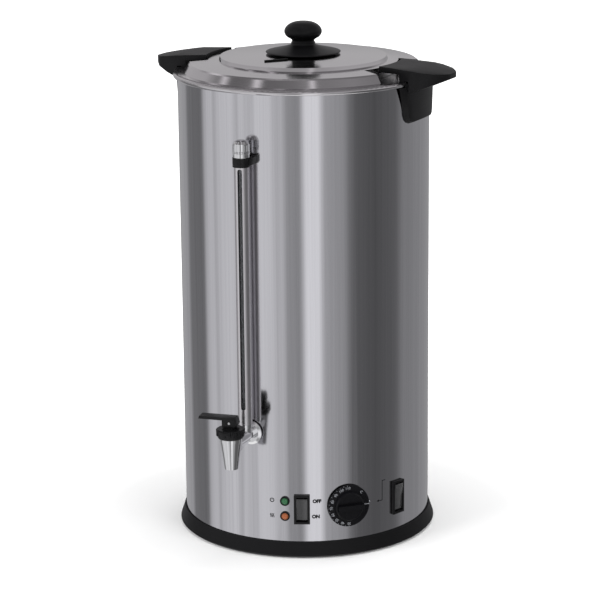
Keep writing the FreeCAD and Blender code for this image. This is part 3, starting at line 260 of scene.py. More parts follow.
class Finish:
    """One procedural finish and the nodes that it is made of."""

    def __init__(self, owner):
        owner.use_nodes = True
        self.owner = owner
        self.tree = owner.node_tree
        self.tree.nodes.clear()

    def add(self, kind, inputs=None, output=0, stops=None, **settings):
        """Adds a node: its settings first, then the value or link of each socket."""
        made = self.tree.nodes.new(kind)
        for key, value in settings.items():
            setattr(made, key, value)
        if stops:
            marks = made.color_ramp.elements
            while len(marks) < len(stops):
                marks.new(1.0)
            for mark, (place, shade) in zip(marks, stops):
                mark.position = place
                mark.color = tuple(shade) + (1.0,)
        for key, value in (inputs or {}).items():
            if isinstance(value, Socket):
                self.tree.links.new(value.output, made.inputs[key])
            else:
                made.inputs[key].default_value = value
        return Socket(self, made.outputs[output]) if made.outputs else None

    def place(self, scale=(1.0, 1.0, 1.0), centre=(0.0, 0.0, 0.0)):
        """Object coordinates, stretched and centred."""
        point = self.add("ShaderNodeTexCoord", output="Object")
        shift = tuple(-c * s for c, s in zip(centre, scale))
        return self.add("ShaderNodeMapping", {"Vector": point, "Scale": scale, "Location": shift})

    def noise(self, density, detail=2.0, rough=0.5):
        return self.add("ShaderNodeTexNoise", {"Vector": self.place(density), "Scale": 1.0,
                                               "Detail": detail, "Roughness": rough})

    def cells(self, density):
        return self.add("ShaderNodeTexVoronoi", {"Vector": self.place(density), "Scale": 1.0},
                        output="Distance")

    def vector(self, operation, first, second=(0.0, 0.0, 0.0)):
        return self.add("ShaderNodeVectorMath", {0: first, 1: second}, output="Value",
                        operation=operation)

    def clamped(self, value):
        return self.add("ShaderNodeClamp", {"Value": value})

    def between(self, value, low, high):
        """Rescales a 0 to 1 value to the range from low to high."""
        return value * (high - low) + low

    def shade(self, factor, low, high):
        """Mixes two colours."""
        ends = [c if isinstance(c, Socket) else with_alpha(c) for c in (low, high)]
        return self.add("ShaderNodeMix", {0: factor, 6: ends[0], 7: ends[1]}, output=2,
                        data_type="RGBA")

    def radius(self, centre):
        """Distance from an upright axis through the centre."""
        flat = self.place((1.0, 1.0, 0.0), (centre[0], centre[1], 0.0))
        return self.vector("LENGTH", flat)

    def bump(self, height, strength, distance):
        return self.add("ShaderNodeBump", {"Height": height, "Strength": strength,
                                           "Distance": distance})

    def surface(self, **sockets):
        """Ends the tree in one Principled shader."""
        named = {key.replace("_", " ").title().replace("Ior", "IOR"): value
                 for key, value in sockets.items()}
        shader = self.add("ShaderNodeBsdfPrincipled", named)
        self.add("ShaderNodeOutputMaterial", {"Surface": shader})
        return self.owner


def scaled(colour, factor):
    return tuple(min(1.0, c * factor) for c in colour[:3])


def with_alpha(colour):
    return tuple(colour[:3]) + (1.0,)


def brushed(name, colour, rough=0.09, grain=SHELL_GRAIN, depth=0.02, streak=0.17):
    """Drawn or brushed metal: long fine scratches, broad soft streaks and faint smears."""
    made = Finish(bpy.data.materials.new(name))
    fine = made.noise(grain, 3.0, 0.65)
    broad = made.noise(tuple(g * 0.3 for g in grain), 3.0, 0.6)
    smear = made.noise(SMEARS, 3.0)
    tone = made.shade(fine * 0.35 + broad * 0.65, scaled(colour, 1.0 - streak),
                      scaled(colour, 1.0 + streak))
    roughness = made.between(fine, rough * 0.75, rough * 1.3) + smear * 0.04
    return made.surface(base_color=tone, metallic=1.0, roughness=roughness,
                        normal=made.bump(fine, depth, GRAIN_DEEP))


def spun(name, colour, centre=(0.0, 0.0), rough=0.11):
    """Polished metal turned on a lathe: faint rings, wipe marks and small dents of light."""
    made = Finish(bpy.data.materials.new(name))
    away = made.radius(centre)
    rings = made.add("ShaderNodeTexNoise", {"W": away * RINGS, "Scale": 1.0, "Detail": 3.0},
                     noise_dimensions="1D")
    wipe = made.noise(WIPES, 4.0, 0.6)
    ripple = made.noise(RIPPLES, 1.0)
    tone = made.shade(rings, scaled(colour, 0.93), scaled(colour, 1.05))
    roughness = made.between(rings, rough * 0.7, rough * 1.2) + wipe * 0.05
    return made.surface(base_color=tone, metallic=1.0, roughness=roughness,
                        normal=made.bump(rings * 0.12 + ripple, 0.10, DENT_DEEP))


def plated(name, colour, rough=0.07, pitting=0.02, scale=420.0):
    """Chrome, nickel or brass: bright, with fine pits, smudges and a slightly uneven casting."""
    made = Finish(bpy.data.materials.new(name))
    pits = made.noise((scale,) * 3, 3.0, 0.6)
    smudge = made.noise(SMUDGES, 4.0, 0.6)
    tone = made.shade(smudge, scaled(colour, 0.9), colour)
    roughness = made.between(smudge, rough * 0.6, rough * 1.8)
    return made.surface(base_color=tone, metallic=1.0, roughness=roughness,
                        normal=made.bump(pits, pitting, PIT_DEEP))


def moulded(name, colour, rough=0.42, grain=0.10, coat=0.0, scale=1700.0):
    """Moulded plastic or rubber: spark grain, uneven gloss, faint dust and rubbed patches."""
    made = Finish(bpy.data.materials.new(name))
    spark = made.noise((scale,) * 3, 3.0, 0.6)
    patch = made.noise(PATCHES, 4.0, 0.6)
    tone = made.shade(patch, scaled(colour, 0.8), scaled(colour, 1.35))
    roughness = made.between(patch, rough * 0.85, rough * 1.15) + spark * 0.05
    return made.surface(base_color=tone, roughness=roughness, specular_ior_level=0.2,
                        coat_weight=coat, coat_roughness=0.12,
                        normal=made.bump(spark, grain, GRAIN_DEEP))


def zinc(name, colour):
    """Zinc plate: crystal spangle in patches of a slightly different grey."""
    made = Finish(bpy.data.materials.new(name))
    crystal = made.cells(CRYSTALS)
    tone = made.shade(crystal, scaled(colour, 0.8), scaled(colour, 1.15))
    return made.surface(base_color=tone, metallic=1.0, roughness=made.between(crystal, 0.25, 0.5),
                        normal=made.bump(crystal, 0.05, PIT_DEEP))


def heat_tinted(name, colour):
    """Element sheath: straw, brown and blue heat colours over dull steel."""
    made = Finish(bpy.data.materials.new(name))
    patch = made.noise(TINTS, 3.0, 0.6)
    tone = made.add("ShaderNodeValToRGB", {"Fac": patch}, stops=[
        (0.25, colour), (0.45, (0.42, 0.29, 0.16)), (0.6, (0.24, 0.16, 0.18)),
        (0.75, (0.13, 0.17, 0.27))])
    return made.surface(base_color=tone, metallic=1.0, roughness=made.between(patch, 0.3, 0.55),
                        normal=made.bump(patch, 0.05, PIT_DEEP))


def lens(name, colour, centre, azimuth):
    """Lamp lens: ribbed plastic that is darker towards its rim."""
    made = Finish(bpy.data.materials.new(name))
    at = made.place(centre=centre)
    across = made.vector("DOT_PRODUCT", at, tuple(outward(azimuth)))
    rim = (made.vector("LENGTH", at) / LENS_RADIUS) ** 3.0
    facets = made.cells(FACETS)
    tone = made.shade(rim, scaled(colour, 1.3), scaled(colour, 0.35))
    glow = made.shade(rim, scaled(colour, 0.35), DARK)
    return made.surface(base_color=tone, emission_color=glow, emission_strength=0.35,
                        roughness=made.between(facets, 0.16, 0.3), coat_weight=0.6,
                        coat_roughness=0.08,
                        normal=made.bump(facets + across * 20.0, 0.25, FACET_DEEP))


def clear_glass(name, colour):
    """Gauge tube: clear glass with faint drawn lines."""
    made = Finish(bpy.data.materials.new(name))
    drawn = made.noise(DRAWN_LINES)
    return made.surface(base_color=with_alpha(colour), roughness=made.between(drawn, 0.02, 0.07),
                        transmission_weight=0.9, ior=1.47,
                        normal=made.bump(drawn, 0.03, GRAIN_DEEP))


def printed(name, colour, rough=0.45):
    """Screen-printed ink: nearly even, with a slight mottle."""
    made = Finish(bpy.data.materials.new(name))
    mottle = made.noise(MOTTLE)
    return made.surface(base_color=made.shade(mottle, scaled(colour, 0.85), scaled(colour, 1.1)),
                        roughness=made.between(mottle, rough * 0.9, rough * 1.1),
                        specular_ior_level=0.08, normal=made.bump(mottle, 0.05, PRINT_DEEP))


def dress(node, material):
    """Puts a finish on every slot of a frame node."""
    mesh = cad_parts[node].data
    if not mesh.materials:
        mesh.materials.append(material)
    for slot in range(len(mesh.materials)):
        mesh.materials[slot] = material


def dress_all(groups):
    for material, nodes in groups.items():
        for node in nodes:
            dress(node, material)


def outward(azimuth):
    turn = math.radians(azimuth)
    return Vector((math.sin(turn), -math.cos(turn), 0.0))


def sideways(azimuth):
    turn = math.radians(azimuth)
    return Vector((math.cos(turn), math.sin(turn), 0.0))


def onto_shell(mesh, azimuth, high, radius):
    """Bends a flat mesh round the shell: x runs sideways, y up and z outwards."""
    for point in mesh.vertices:
        turn = azimuth + math.degrees(point.co.x / radius)
        point.co = outward(turn) * (radius + point.co.z) + Vector((0.0, 0.0, high + point.co.y))


def onto_face(mesh, azimuth, high, radius):
    """Sets a flat mesh on a plane square to the azimuth."""
    for point in mesh.vertices:
        point.co = (outward(azimuth) * (radius + point.co.z) + sideways(azimuth) * point.co.x
                    + Vector((0.0, 0.0, high + point.co.y)))


def in_scene(name, data):
    """A new object that shows this data, in the scene."""
    holder = bpy.data.objects.new(name, data)
    bpy.context.scene.collection.objects.link(holder)
    return holder


def baked(built, name, turned=True):
    """The mesh of a finished bmesh, with its faces turned outwards if asked."""
    if turned:
        bmesh.ops.recalc_face_normals(built, faces=built.faces)
    mesh = bpy.data.meshes.new(name)
    built.to_mesh(mesh)
    built.free()
    return mesh


def ring(built, radius, high, turns):
    """A level ring of corners about the Z axis."""
    return [built.verts.new((radius * math.cos(math.tau * i / turns),
                             radius * math.sin(math.tau * i / turns), high)) for i in range(turns)]


def new_piece(name, mesh, material, body):
    """Adds a finished mesh as a piece that rides on a body."""
    mesh.name = name
    mesh.materials.clear()
    mesh.materials.append(material)
    piece = in_scene(name, mesh)
    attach(piece, body)
    return piece


def settled(holder):
    """The plain mesh of an object with its modifiers, whose object is then removed."""
    bpy.context.view_layer.update()
    seen = holder.evaluated_get(bpy.context.evaluated_depsgraph_get())
    mesh = bpy.data.meshes.new_from_object(seen)
    bpy.data.objects.remove(holder)
    return mesh


def words(text, high, thick, bold=0.0, turn=0.0, at=(0.0, 0.0)):
    """Closed mesh of a short text, centred on a point, with its back at z 0."""
    curve = bpy.data.curves.new("words", "FONT")
    curve.body = text
    curve.size = high * CAPITAL_SCALE
    curve.extrude = thick * 0.5
    curve.offset = bold
    curve.resolution_u = TEXT_STEPS
    curve.align_x = "CENTER"
    curve.align_y = "CENTER"
    mesh = settled(in_scene("words", curve))
    mesh.transform(Matrix.Translation((at[0], at[1], thick * 0.5)) @ Matrix.Rotation(turn, 4, "Z"))
    return mesh


def joined(meshes):
    """One mesh from several."""
    built = bmesh.new()
    for mesh in meshes:
        built.from_mesh(mesh)
        bpy.data.meshes.remove(mesh)
    bmesh.ops.remove_doubles(built, verts=built.verts, dist=1e-7)
    return baked(built, "joined")


def plate(outline, thick):
    """Closed flat plate from an outline of (x, y) points, with its back at z 0."""
    built = bmesh.new()
    back = [built.verts.new((x, y, 0.0)) for x, y in outline]
    front = [built.verts.new((x, y, thick)) for x, y in outline]
    built.faces.new(back)
    built.faces.new(front)
    for i in range(len(outline)):
        j = (i + 1) % len(outline)
        built.faces.new((back[i], back[j], front[j], front[i]))
    return baked(built, "plate")


def stroke(points, wide, thick):
    """Closed flat line of even width through (x, y) points."""
    left = []
    right = []
    for i, (x, y) in enumerate(points):
        before = Vector(points[max(i - 1, 0)])
        after = Vector(points[min(i + 1, len(points) - 1)])
        here = Vector((x, y))
        ways = [w.normalized() for w in (here - before, after - here) if w.length > 0.0]
        along = sum(ways, Vector((0.0, 0.0))).normalized()
        spread = wide * 0.5 / max(0.5, along.dot(ways[0]))
        left.append((x - along.y * spread, y + along.x * spread))
        right.append((x + along.y * spread, y - along.x * spread))
    return plate(left + right[::-1], thick)


def arc(centre, radius, first, last, steps=18):
    """Points along an arc, in degrees."""
    turns = [math.radians(first + (last - first) * i / steps) for i in range(steps + 1)]
    return [(centre[0] + radius * math.cos(turn), centre[1] + radius * math.sin(turn))
            for turn in turns]


class Tree:
    """A Geometry Nodes tree with named inputs, run once to give a plain mesh."""

    def __init__(self, name, inputs):
        self.group = bpy.data.node_groups.new(name, "GeometryNodeTree")
        self.keys = {}
        self.group.interface.new_socket("Geometry", in_out="OUTPUT",
                                        socket_type="NodeSocketGeometry")
        for label, kind in inputs.items():
            socket = self.group.interface.new_socket(label, in_out="INPUT", socket_type=kind)
            self.keys[label] = socket.identifier
        self.source = self.group.nodes.new("NodeGroupInput")

    def named(self, label):
        return self.source.outputs[label]

    def add(self, kind, inputs=None, output=0, **settings):
        """Adds a node: its settings first, then the value or link of each socket."""
        made = self.group.nodes.new(kind)
        for key, value in settings.items():
            setattr(made, key, value)
        for key, value in (inputs or {}).items():
            if isinstance(value, bpy.types.NodeSocket):
                self.group.links.new(value, made.inputs[key])
            else:
                made.inputs[key].default_value = value
        return made.outputs[output]

    def finish(self, geometry, material):
        """Ends the tree in Realize Instances and Set Material."""
        solid = self.add("GeometryNodeRealizeInstances", {"Geometry": geometry})
        coated = self.add("GeometryNodeSetMaterial", {"Geometry": solid, "Material": material})
        sink = self.group.nodes.new("NodeGroupOutput")
        self.group.links.new(coated, sink.inputs["Geometry"])

    def mesh(self, values):
        """Runs the tree on an empty mesh with these input values."""
        holder = in_scene("holder", bpy.data.meshes.new("holder"))
        live = holder.modifiers.new("tree", "NODES")
        live.node_group = self.group
        for label, value in values.items():
            live[self.keys[label]] = value
        return settled(holder)


def ring_tree(name, material):
    """Small box bars spread along an arc about the Z axis, each lying across it."""
    tree = Tree(name, {"Count": "NodeSocketInt", "Radius": "NodeSocketFloat",
                       "First": "NodeSocketFloat", "Step": "NodeSocketFloat",
                       "Bar": "NodeSocketVector"})
    points = tree.add("GeometryNodePoints", {"Count": tree.named("Count")})
    index = tree.add("GeometryNodeInputIndex")
    swept = tree.add("ShaderNodeMath", {0: index, 1: tree.named("Step")}, operation="MULTIPLY")
    turn = tree.add("ShaderNodeMath", {0: swept, 1: tree.named("First")}, operation="ADD")
    wise = tree.add("ShaderNodeMath", {0: turn}, operation="COSINE")
    rise = tree.add("ShaderNodeMath", {0: turn}, operation="SINE")
    way = tree.add("ShaderNodeCombineXYZ", {"X": wise, "Y": rise})
    spot = tree.add("ShaderNodeVectorMath", {0: way, "Scale": tree.named("Radius")},
                    operation="SCALE")
    placed = tree.add("GeometryNodeSetPosition", {"Geometry": points, "Position": spot})
    bar = tree.add("GeometryNodeMeshCube", {"Size": tree.named("Bar")})
    spin = tree.add("ShaderNodeCombineXYZ", {"Z": turn})
    copies = tree.add("GeometryNodeInstanceOnPoints", {"Points": placed, "Instance": bar,
                                                       "Rotation": spin})
    tree.finish(copies, material)
    return tree


def row_tree(name, material):
    """Low round buttons in a straight row up the Z axis."""
    tree = Tree(name, {"Count": "NodeSocketInt", "Low": "NodeSocketVector",
                       "Pitch": "NodeSocketVector", "Radius": "NodeSocketFloat",
                       "Height": "NodeSocketFloat"})
    row = tree.add("GeometryNodeMeshLine", {"Count": tree.named("Count"),
                                            "Start Location": tree.named("Low"),
                                            "Offset": tree.named("Pitch")})
    button = tree.add("GeometryNodeMeshCone", {"Vertices": BUTTON_SIDES,
                                               "Radius Bottom": tree.named("Radius"),
                                               "Radius Top": BUTTON_TOP,
                                               "Depth": tree.named("Height")})
    copies = tree.add("GeometryNodeInstanceOnPoints", {"Points": row, "Instance": button,
                                                       "Rotation": (math.pi / 2, 0.0, math.pi)})
    tree.finish(copies, material)
    return tree


def rounded_copy(node, width, material, body, segments=2):
    """A copy of a frame node with its sharp edges rounded, which stands for the node."""
    built = bmesh.new()
    built.from_mesh(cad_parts[node].data)
    bmesh.ops.remove_doubles(built, verts=built.verts, dist=1e-6)
    bmesh.ops.dissolve_limit(built, angle_limit=FLAT_ANGLE, verts=built.verts,
                             edges=built.edges)
    holder = in_scene(node + "_rounded", baked(built, node + "_rounded", False))
    bevel = holder.modifiers.new("edges", "BEVEL")
    bevel.width = width
    bevel.segments = segments
    bevel.limit_method = "ANGLE"
    bevel.angle_limit = ROUND_ANGLE
    bevel.harden_normals = False
    mesh = settled(holder)
    if "custom_normal" in mesh.attributes:
        mesh.attributes.remove(mesh.attributes["custom_normal"])
    piece = new_piece(node + "_rounded", mesh, material, body)
    mesh.shade_smooth()
    mesh.set_sharp_from_angle(angle=SHARP_ANGLE)
    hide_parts(node)
    return piece


def smooth(points, steps=5):
    """More points along a smooth curve through these ones."""
    ends = [points[0]] + list(points) + [points[-1]]
    curve = []
    for i in range(1, len(ends) - 2):
        a, b, c, d = (Vector(p) for p in ends[i - 1:i + 3])
        for k in range(steps):
            t = k / steps
            curve.append(0.5 * (2 * b + (c - a) * t + (2 * a - 5 * b + 4 * c - d) * t ** 2
                                + (3 * b - a - 3 * c + d) * t ** 3))
    return curve + [Vector(points[-1])]


def lathe(name, profile, turns=96):
    """Closed mesh turned about the Z axis from (radius, height) points, in millimetres."""
    built = bmesh.new()
    rings = []
    for radius, high in profile:
        if radius < 1e-6:
            rings.append([built.verts.new((0.0, 0.0, high * MM))])
        else:
            rings.append(ring(built, radius * MM, high * MM, turns))
    for lower, upper in zip(rings, rings[1:]):
        for i in range(turns):
            j = (i + 1) % turns
            corners = [lower[i % len(lower)], lower[j % len(lower)], upper[j % len(upper)],
                       upper[i % len(upper)]]
            built.faces.new(list(dict.fromkeys(corners)))
    mesh = baked(built, name)
    mesh.shade_smooth()
    return mesh


class URN_OT_metals(bpy.types.Operator):
    """Gives the steel, chrome, zinc, brass and copper parts their finishes"""
    bl_idname = "urn.metals"
    bl_label = "Metal finishes"

    def execute(self, context):
        hue = context.scene.urn_colours
        shell = brushed("brushed shell steel", hue.steel)
        inner = brushed("satin tank steel", scaled(hue.polished, 1.6), 0.4, TANK_GRAIN, 0.04)
        tube = brushed("satin tube steel", scaled(hue.polished, 1.15), 0.3, TUBE_GRAIN, 0.02, 0.05)
        lid_steel = spun("polished lid steel", hue.polished)
        rim = spun("rolled rim steel", hue.polished, rough=0.13)
        fitting = plated("gauge chrome", hue.chrome)
        tap = plated("tap chrome", hue.chrome, 0.06, 0.03, 160.0)
        brass = plated("machined brass", BRASS, 0.16, 0.05, 900.0)
        copper = plated("drawn copper", COPPER, 0.2, 0.04, 700.0)
        bolt = zinc("zinc fasteners", FASTENER)
        sheet = zinc("zinc sheet", SHEET)
        cast = brushed("cast spreader", CASTING, 0.4, CAST_GRAIN, 0.12)
        groups = {
            shell: ("outer_shell",), inner: ("tank_wall", "tank_base", "lid_skirt"),
            rim: ("top_rim",), lid_steel: ("lid",), tube: ("gauge_shield",),
            fitting: ("gauge_cap", "gauge_nut", "tap_spacer"), tap: ("tap_body",),
            brass: ("tap_nut", "tap_stem", "dial_shaft"), copper: ("sensing_bulb",),
            bolt: ("base_screws", "knob_washer", "knob_screw", "grip_screws", "clamp_screw",
                   "lever_pin", "tank_stud", "stud_nut", "thermostat_screws", "tap_spring"),
            sheet: ("base_plate", "grip_plates", "element_clamp", "thermostat_saddle"),
            cast: ("heat_spreader",),
            heat_tinted("element sheath", SHEATH): ("heating_element",),
        }
        dress_all(groups)
        return {"FINISHED"}


class URN_OT_plastics(bpy.types.Operator):
    """Gives the plastic, rubber, glass and nylon parts their finishes"""
    bl_idname = "urn.plastics"
    bl_label = "Plastic and glass finishes"

    def execute(self, context):
        hue = context.scene.urn_colours
        base = moulded("black base plastic", hue.plastic, 0.5, 0.12)
        knob = moulded("black knob plastic", scaled(hue.plastic, 0.9), 0.36, 0.08)
        satin = moulded("black fitting plastic", hue.plastic, 0.3, 0.05, 0.06)
        rubber = moulded("black rubber", RUBBER, 0.75, 0.2)
        silicone = moulded("white silicone", SILICONE, 0.6, 0.1)
        phenolic = moulded("brown phenolic", PHENOLIC, 0.45, 0.15)
        nylon = moulded("white nylon", NYLON, 0.45, 0.08)
        dial = moulded("black dial plastic", DIAL_BLACK, 0.3, 0.04, 0.0)
        # Its dark grey tint is painted shade for the inside of the gauge tube.
        glass = clear_glass("gauge glass", GLASS_TINT_AND_SHADE)
        lamps = {}
        for label, colour in (("power", hue.green), ("heating", hue.amber)):
            centre = outward(LAMP_AZIMUTH) * SHELL_RADIUS + Vector((0.0, 0.0, LAMP_HIGHS[label]))
            lamps[label] = lens(label + " lens", tuple(colour), tuple(centre), LAMP_AZIMUTH)
        groups = {
            base: ("base_ring", "gauge_clamp"), knob: ("knob_shield", "lid_knob"),
            satin: ("tap_bonnet", "swivel_washer", "tap_lever", "power_bezel", "heating_bezel",
                    "main_switch_frame", "mode_switch_frame", "cord_gland", "gland_nut",
                    "main_rocker", "mode_rocker", "right_handle", "left_handle"),
            rubber: ("base_feet", "gauge_seal", "tap_gasket", "tank_seal"),
            silicone: ("seat_cup",), phenolic: ("thermostat_case", "boil_dry_cutout"),
            nylon: ("terminal_block",), dial: ("temperature_dial",), glass: ("gauge_glass",),
            lamps["power"]: ("power_lens",), lamps["heating"]: ("heating_lens",),
        }
        dress_all(groups)
        return {"FINISHED"}


class URN_OT_rounded_parts(bpy.types.Operator):
    """Rounds the edges of the grips, lever, clamp, switch frames and rockers"""
    bl_idname = "urn.rounded_parts"
    bl_label = "Rounded plastic parts"

    def execute(self, context):
        size = context.scene.urn_sizes
        hue = context.scene.urn_colours
        grip = moulded("black grip plastic", hue.plastic, 0.42, 0.07)
        trim = moulded("black trim plastic", hue.plastic, 0.34, 0.06, 0.05)
        rocker = moulded("smoked rocker plastic", ROCKER_SMOKE, 0.14, 0.02, 0.8)
        for node in ("right_handle", "left_handle"):
            rounded_copy(node, size.edge_round, grip, "urn", 3)
        rounded_copy("tap_lever", size.trim_round, trim, "lever")
        rounded_copy("gauge_clamp", size.trim_round, trim, "urn")
        for label, body in (("main", "main_rocker"), ("mode", "mode_rocker")):
            rounded_copy(label + "_switch_frame", size.trim_round, trim, "urn")
            rounded_copy(label + "_rocker", size.trim_round, rocker, body)
        return {"FINISHED"}


class URN_OT_shell_marks(bpy.types.Operator):
    """Prints OFF and ON, the two lamp symbols and the arrow on the shell"""
    bl_idname = "urn.shell_marks"
    bl_label = "Marks on the shell"

    def execute(self, context):
        size = context.scene.urn_sizes
        ink = printed("black print", context.scene.urn_colours.ink)
        thick = size.print_thick * 2.0
        skin = SHELL_RADIUS - size.print_thick

        def mark(name, mesh, azimuth, high):
            onto_shell(mesh, azimuth, high, skin)
            new_piece(name, mesh, ink, "urn")

        bold, wide, line_wide = 0.40 * MM, 0.95 * MM, 0.85 * MM
        loop_away, bar_low, bar_top, dot_away = 2.3 * MM, 0.3 * MM, 2.9 * MM, 0.9 * MM
        for text, place in WORD_PLACES.items():
            mark("word_" + text.lower(), words(text, size.letter_high, thick, bold), *place)
        loop = stroke(arc((0.0, 0.0), loop_away, 115.0, 425.0), wide, thick)
        bar = stroke([(0.0, bar_low), (0.0, bar_top)], wide, thick)
        mark("power_symbol", joined([loop, bar]), *POWER_PLACE)
        waves = []
        swing, rise, bend, last = 0.45 * MM, 0.48 * MM, 0.7, 10
        for side in (-1.8 * MM, 0.0, 1.8 * MM):
            wave = [(side + swing * math.sin(step * bend), (step - last // 2) * rise)
                    for step in range(last + 1)]
            waves.append(stroke(wave, wide, thick))
        mark("heating_symbol", joined(waves), *HEATING_PLACE)
        bends = ((8.6, 18.0), (4.0, 18.0), (4.0, -6.5), (-1.0, -6.5))
        tip = ((-4.4, -6.5), (-1.0, -5.0), (-1.0, -8.0))
        line = stroke([(x * MM, y * MM) for x, y in bends], line_wide, thick)
        head = plate([(x * MM, y * MM) for x, y in tip], thick)
        mark("arrow_mark", joined([line, head]), *ARROW_PLACE)
        dot = plate(arc((0.0, 0.0), dot_away, 0.0, 345.0, 23), thick)
        onto_shell(dot, *INDEX_PLACE, skin)
        new_piece("dial_index", dot, printed("white index", context.scene.urn_colours.white_ink),
                  "urn")
        return {"FINISHED"}


class URN_OT_dial_marks(bpy.types.Operator):
    """Prints the numbers, ticks and pointer on the temperature dial"""
    bl_idname = "urn.dial_marks"
    bl_label = "Dial marks"

    def execute(self, context):
        size = context.scene.urn_sizes
        ink = printed("white dial print", scaled(context.scene.urn_colours.white_ink, 0.62))
        thick = 0.7 * MM
        first, step, away, bold = 270.0, -22.0, 21.9 * MM, 0.05 * MM
        signs = [(str(30 + 10 * i), math.radians(first + step * i)) for i in range(9)]
        digits = joined([words(text, size.number_high, thick, bold, angle - math.pi / 2,
                               (away * math.cos(angle), away * math.sin(angle)))
                         for text, angle in signs + [("C", math.radians(45.0))]])
        onto_face(digits, DIAL_AZIMUTH, DIAL_HIGH, DIAL_FACE - thick + 0.06 * MM)
        new_piece("dial_numbers", digits, ink, "dial")
        tree = ring_tree("dial ticks", ink)
        tick_first, sweep = math.radians(94.0), math.radians(176.0)
        tick_away, tick_bar, tick_sunk = 24.9 * MM, (1.2 * MM, 0.42 * MM, thick), 0.35 * MM
        ticks = tree.mesh({"Count": size.tick_count, "Radius": tick_away, "First": tick_first,
                           "Step": sweep / (size.tick_count - 1), "Bar": tick_bar})
        onto_face(ticks, DIAL_AZIMUTH, DIAL_HIGH, DIAL_FACE - 0.5 * thick - tick_sunk)
        new_piece("dial_ticks", ticks, ink, "dial")
        near, far, wide = 18.9 * MM, 25.4 * MM, 0.75 * MM
        pointer = stroke([(near, 0.0), (far, 0.0)], wide, thick)
        onto_face(pointer, DIAL_AZIMUTH, DIAL_HIGH, DIAL_FACE - thick + 0.02 * MM)
        new_piece("dial_pointer", pointer, ink, "dial")
        return {"FINISHED"}


class URN_OT_cap_flutes(bpy.types.Operator):
    """Runs flutes round the gauge cap and grip ribs round the tap's bonnet"""
    bl_idname = "urn.cap_flutes"
    bl_label = "Flutes and ribs"

    def execute(self, context):
        size = context.scene.urn_sizes
        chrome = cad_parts["gauge_cap"].data.materials[0]
        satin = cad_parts["tap_bonnet"].data.materials[0]
        jobs = (("gauge_flutes", chrome, "chrome_fitting", size.cap_ribs, 9.7 * MM,
                 (0.7 * MM, 1.1 * MM, 11.0 * MM), CAP_AXIS, "urn"),
                ("bonnet_ribs", satin, "black_bonnet", size.bonnet_ribs, 16.6 * MM,
                 (1.1 * MM, 3.2 * MM, 6.0 * MM), BONNET_AXIS, "swivel"))
        for name, material, slot, count, radius, bar, middle, body in jobs:
            tree = ring_tree(name, material)
            mesh = tree.mesh({"Count": count, "Radius": radius, "First": 0.0,
                              "Step": math.tau / count, "Bar": bar})
            mesh.transform(Matrix.Translation(middle))
            new_piece(name, mesh, material, body)
        return {"FINISHED"}


class URN_OT_rear_seam(bpy.types.Operator):
    """Adds the lap seam and its spot welds down the back of the shell"""
    bl_idname = "urn.rear_seam"
    bl_label = "Rear seam"

    def execute(self, context):
        size = context.scene.urn_sizes
        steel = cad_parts["outer_shell"].data.materials[0]
        half = size.seam_wide * 0.5
        rows, sunk, thick, margin = 40, 0.1 * MM, 0.45 * MM, 0.01
        high = SEAM_TOP - SEAM_LOW
        outline = [(-half, SEAM_LOW + high * i / rows) for i in range(rows + 1)]
        outline += [(half, y) for x, y in outline[::-1]]
        strip = plate(outline, thick)
        onto_shell(strip, SEAM_AZIMUTH, 0.0, SHELL_RADIUS - sunk)
        new_piece("rear_seam", strip, steel, "urn")
        tree = row_tree("spot welds", steel)
        pitch = (high - 2.0 * margin) / (size.weld_count - 1)
        welds = tree.mesh({"Count": size.weld_count,
                           "Low": (0.0, SHELL_RADIUS + thick - sunk, SEAM_LOW + margin),
                           "Pitch": (0.0, 0.0, pitch), "Radius": 1.7 * MM, "Height": 0.4 * MM})
        new_piece("spot_welds", welds, steel, "urn")
        return {"FINISHED"}


class URN_OT_knob(bpy.types.Operator):
    """Turns the lid's knob with its collar and shield in one smooth shape"""
    bl_idname = "urn.knob"
    bl_label = "Lid knob"

    def execute(self, context):
        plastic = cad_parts["lid_knob"].data.materials[0]
        profile = smooth(KNOB_BULB) + [Vector(p) for p in KNOB_COLLAR] + smooth(KNOB_SHIELD)
        mesh = lathe("turned_knob", profile + [Vector(KNOB_FOOT)])
        piece = new_piece("turned_knob", mesh, plastic, "lid")
        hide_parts("lid_knob", "knob_shield")
        return {"FINISHED"}


class URN_OT_vent(bpy.types.Operator):
    """Lays a black plate in the lid's slot, as painted shade for the dark inside of the steam vent"""
    bl_idname = "urn.vent"
    bl_label = "Steam vent"

    def execute(self, context):
        # A black plate as painted shade: it stands for the dark inside of the urn seen through the vent
        # slot.
        vent_shade = printed("painted vent shade", VENT_SHADE_BLACK, 0.6)
        half, end, thick, sunk = 12.0 * MM, 2.4 * MM, 2.0 * MM, 0.55 * MM
        outline = arc((half, 0.0), end, -90.0, 90.0) + arc((-half, 0.0), end, 90.0, 270.0)
        mesh = plate(outline, thick)
        turn = Matrix.Rotation(math.radians(VENT_TURN), 4, "Z")
        mesh.transform(Matrix.Translation(outward(VENT_AZIMUTH) * VENT_PLACE) @ turn)
        for point in mesh.vertices:
            fall = CROWN_FALL * math.hypot(point.co.x, point.co.y)
            point.co.z += CROWN_HIGH - fall - sunk
        new_piece("vent_shade_plate", mesh, vent_shade, "lid")
        return {"FINISHED"}


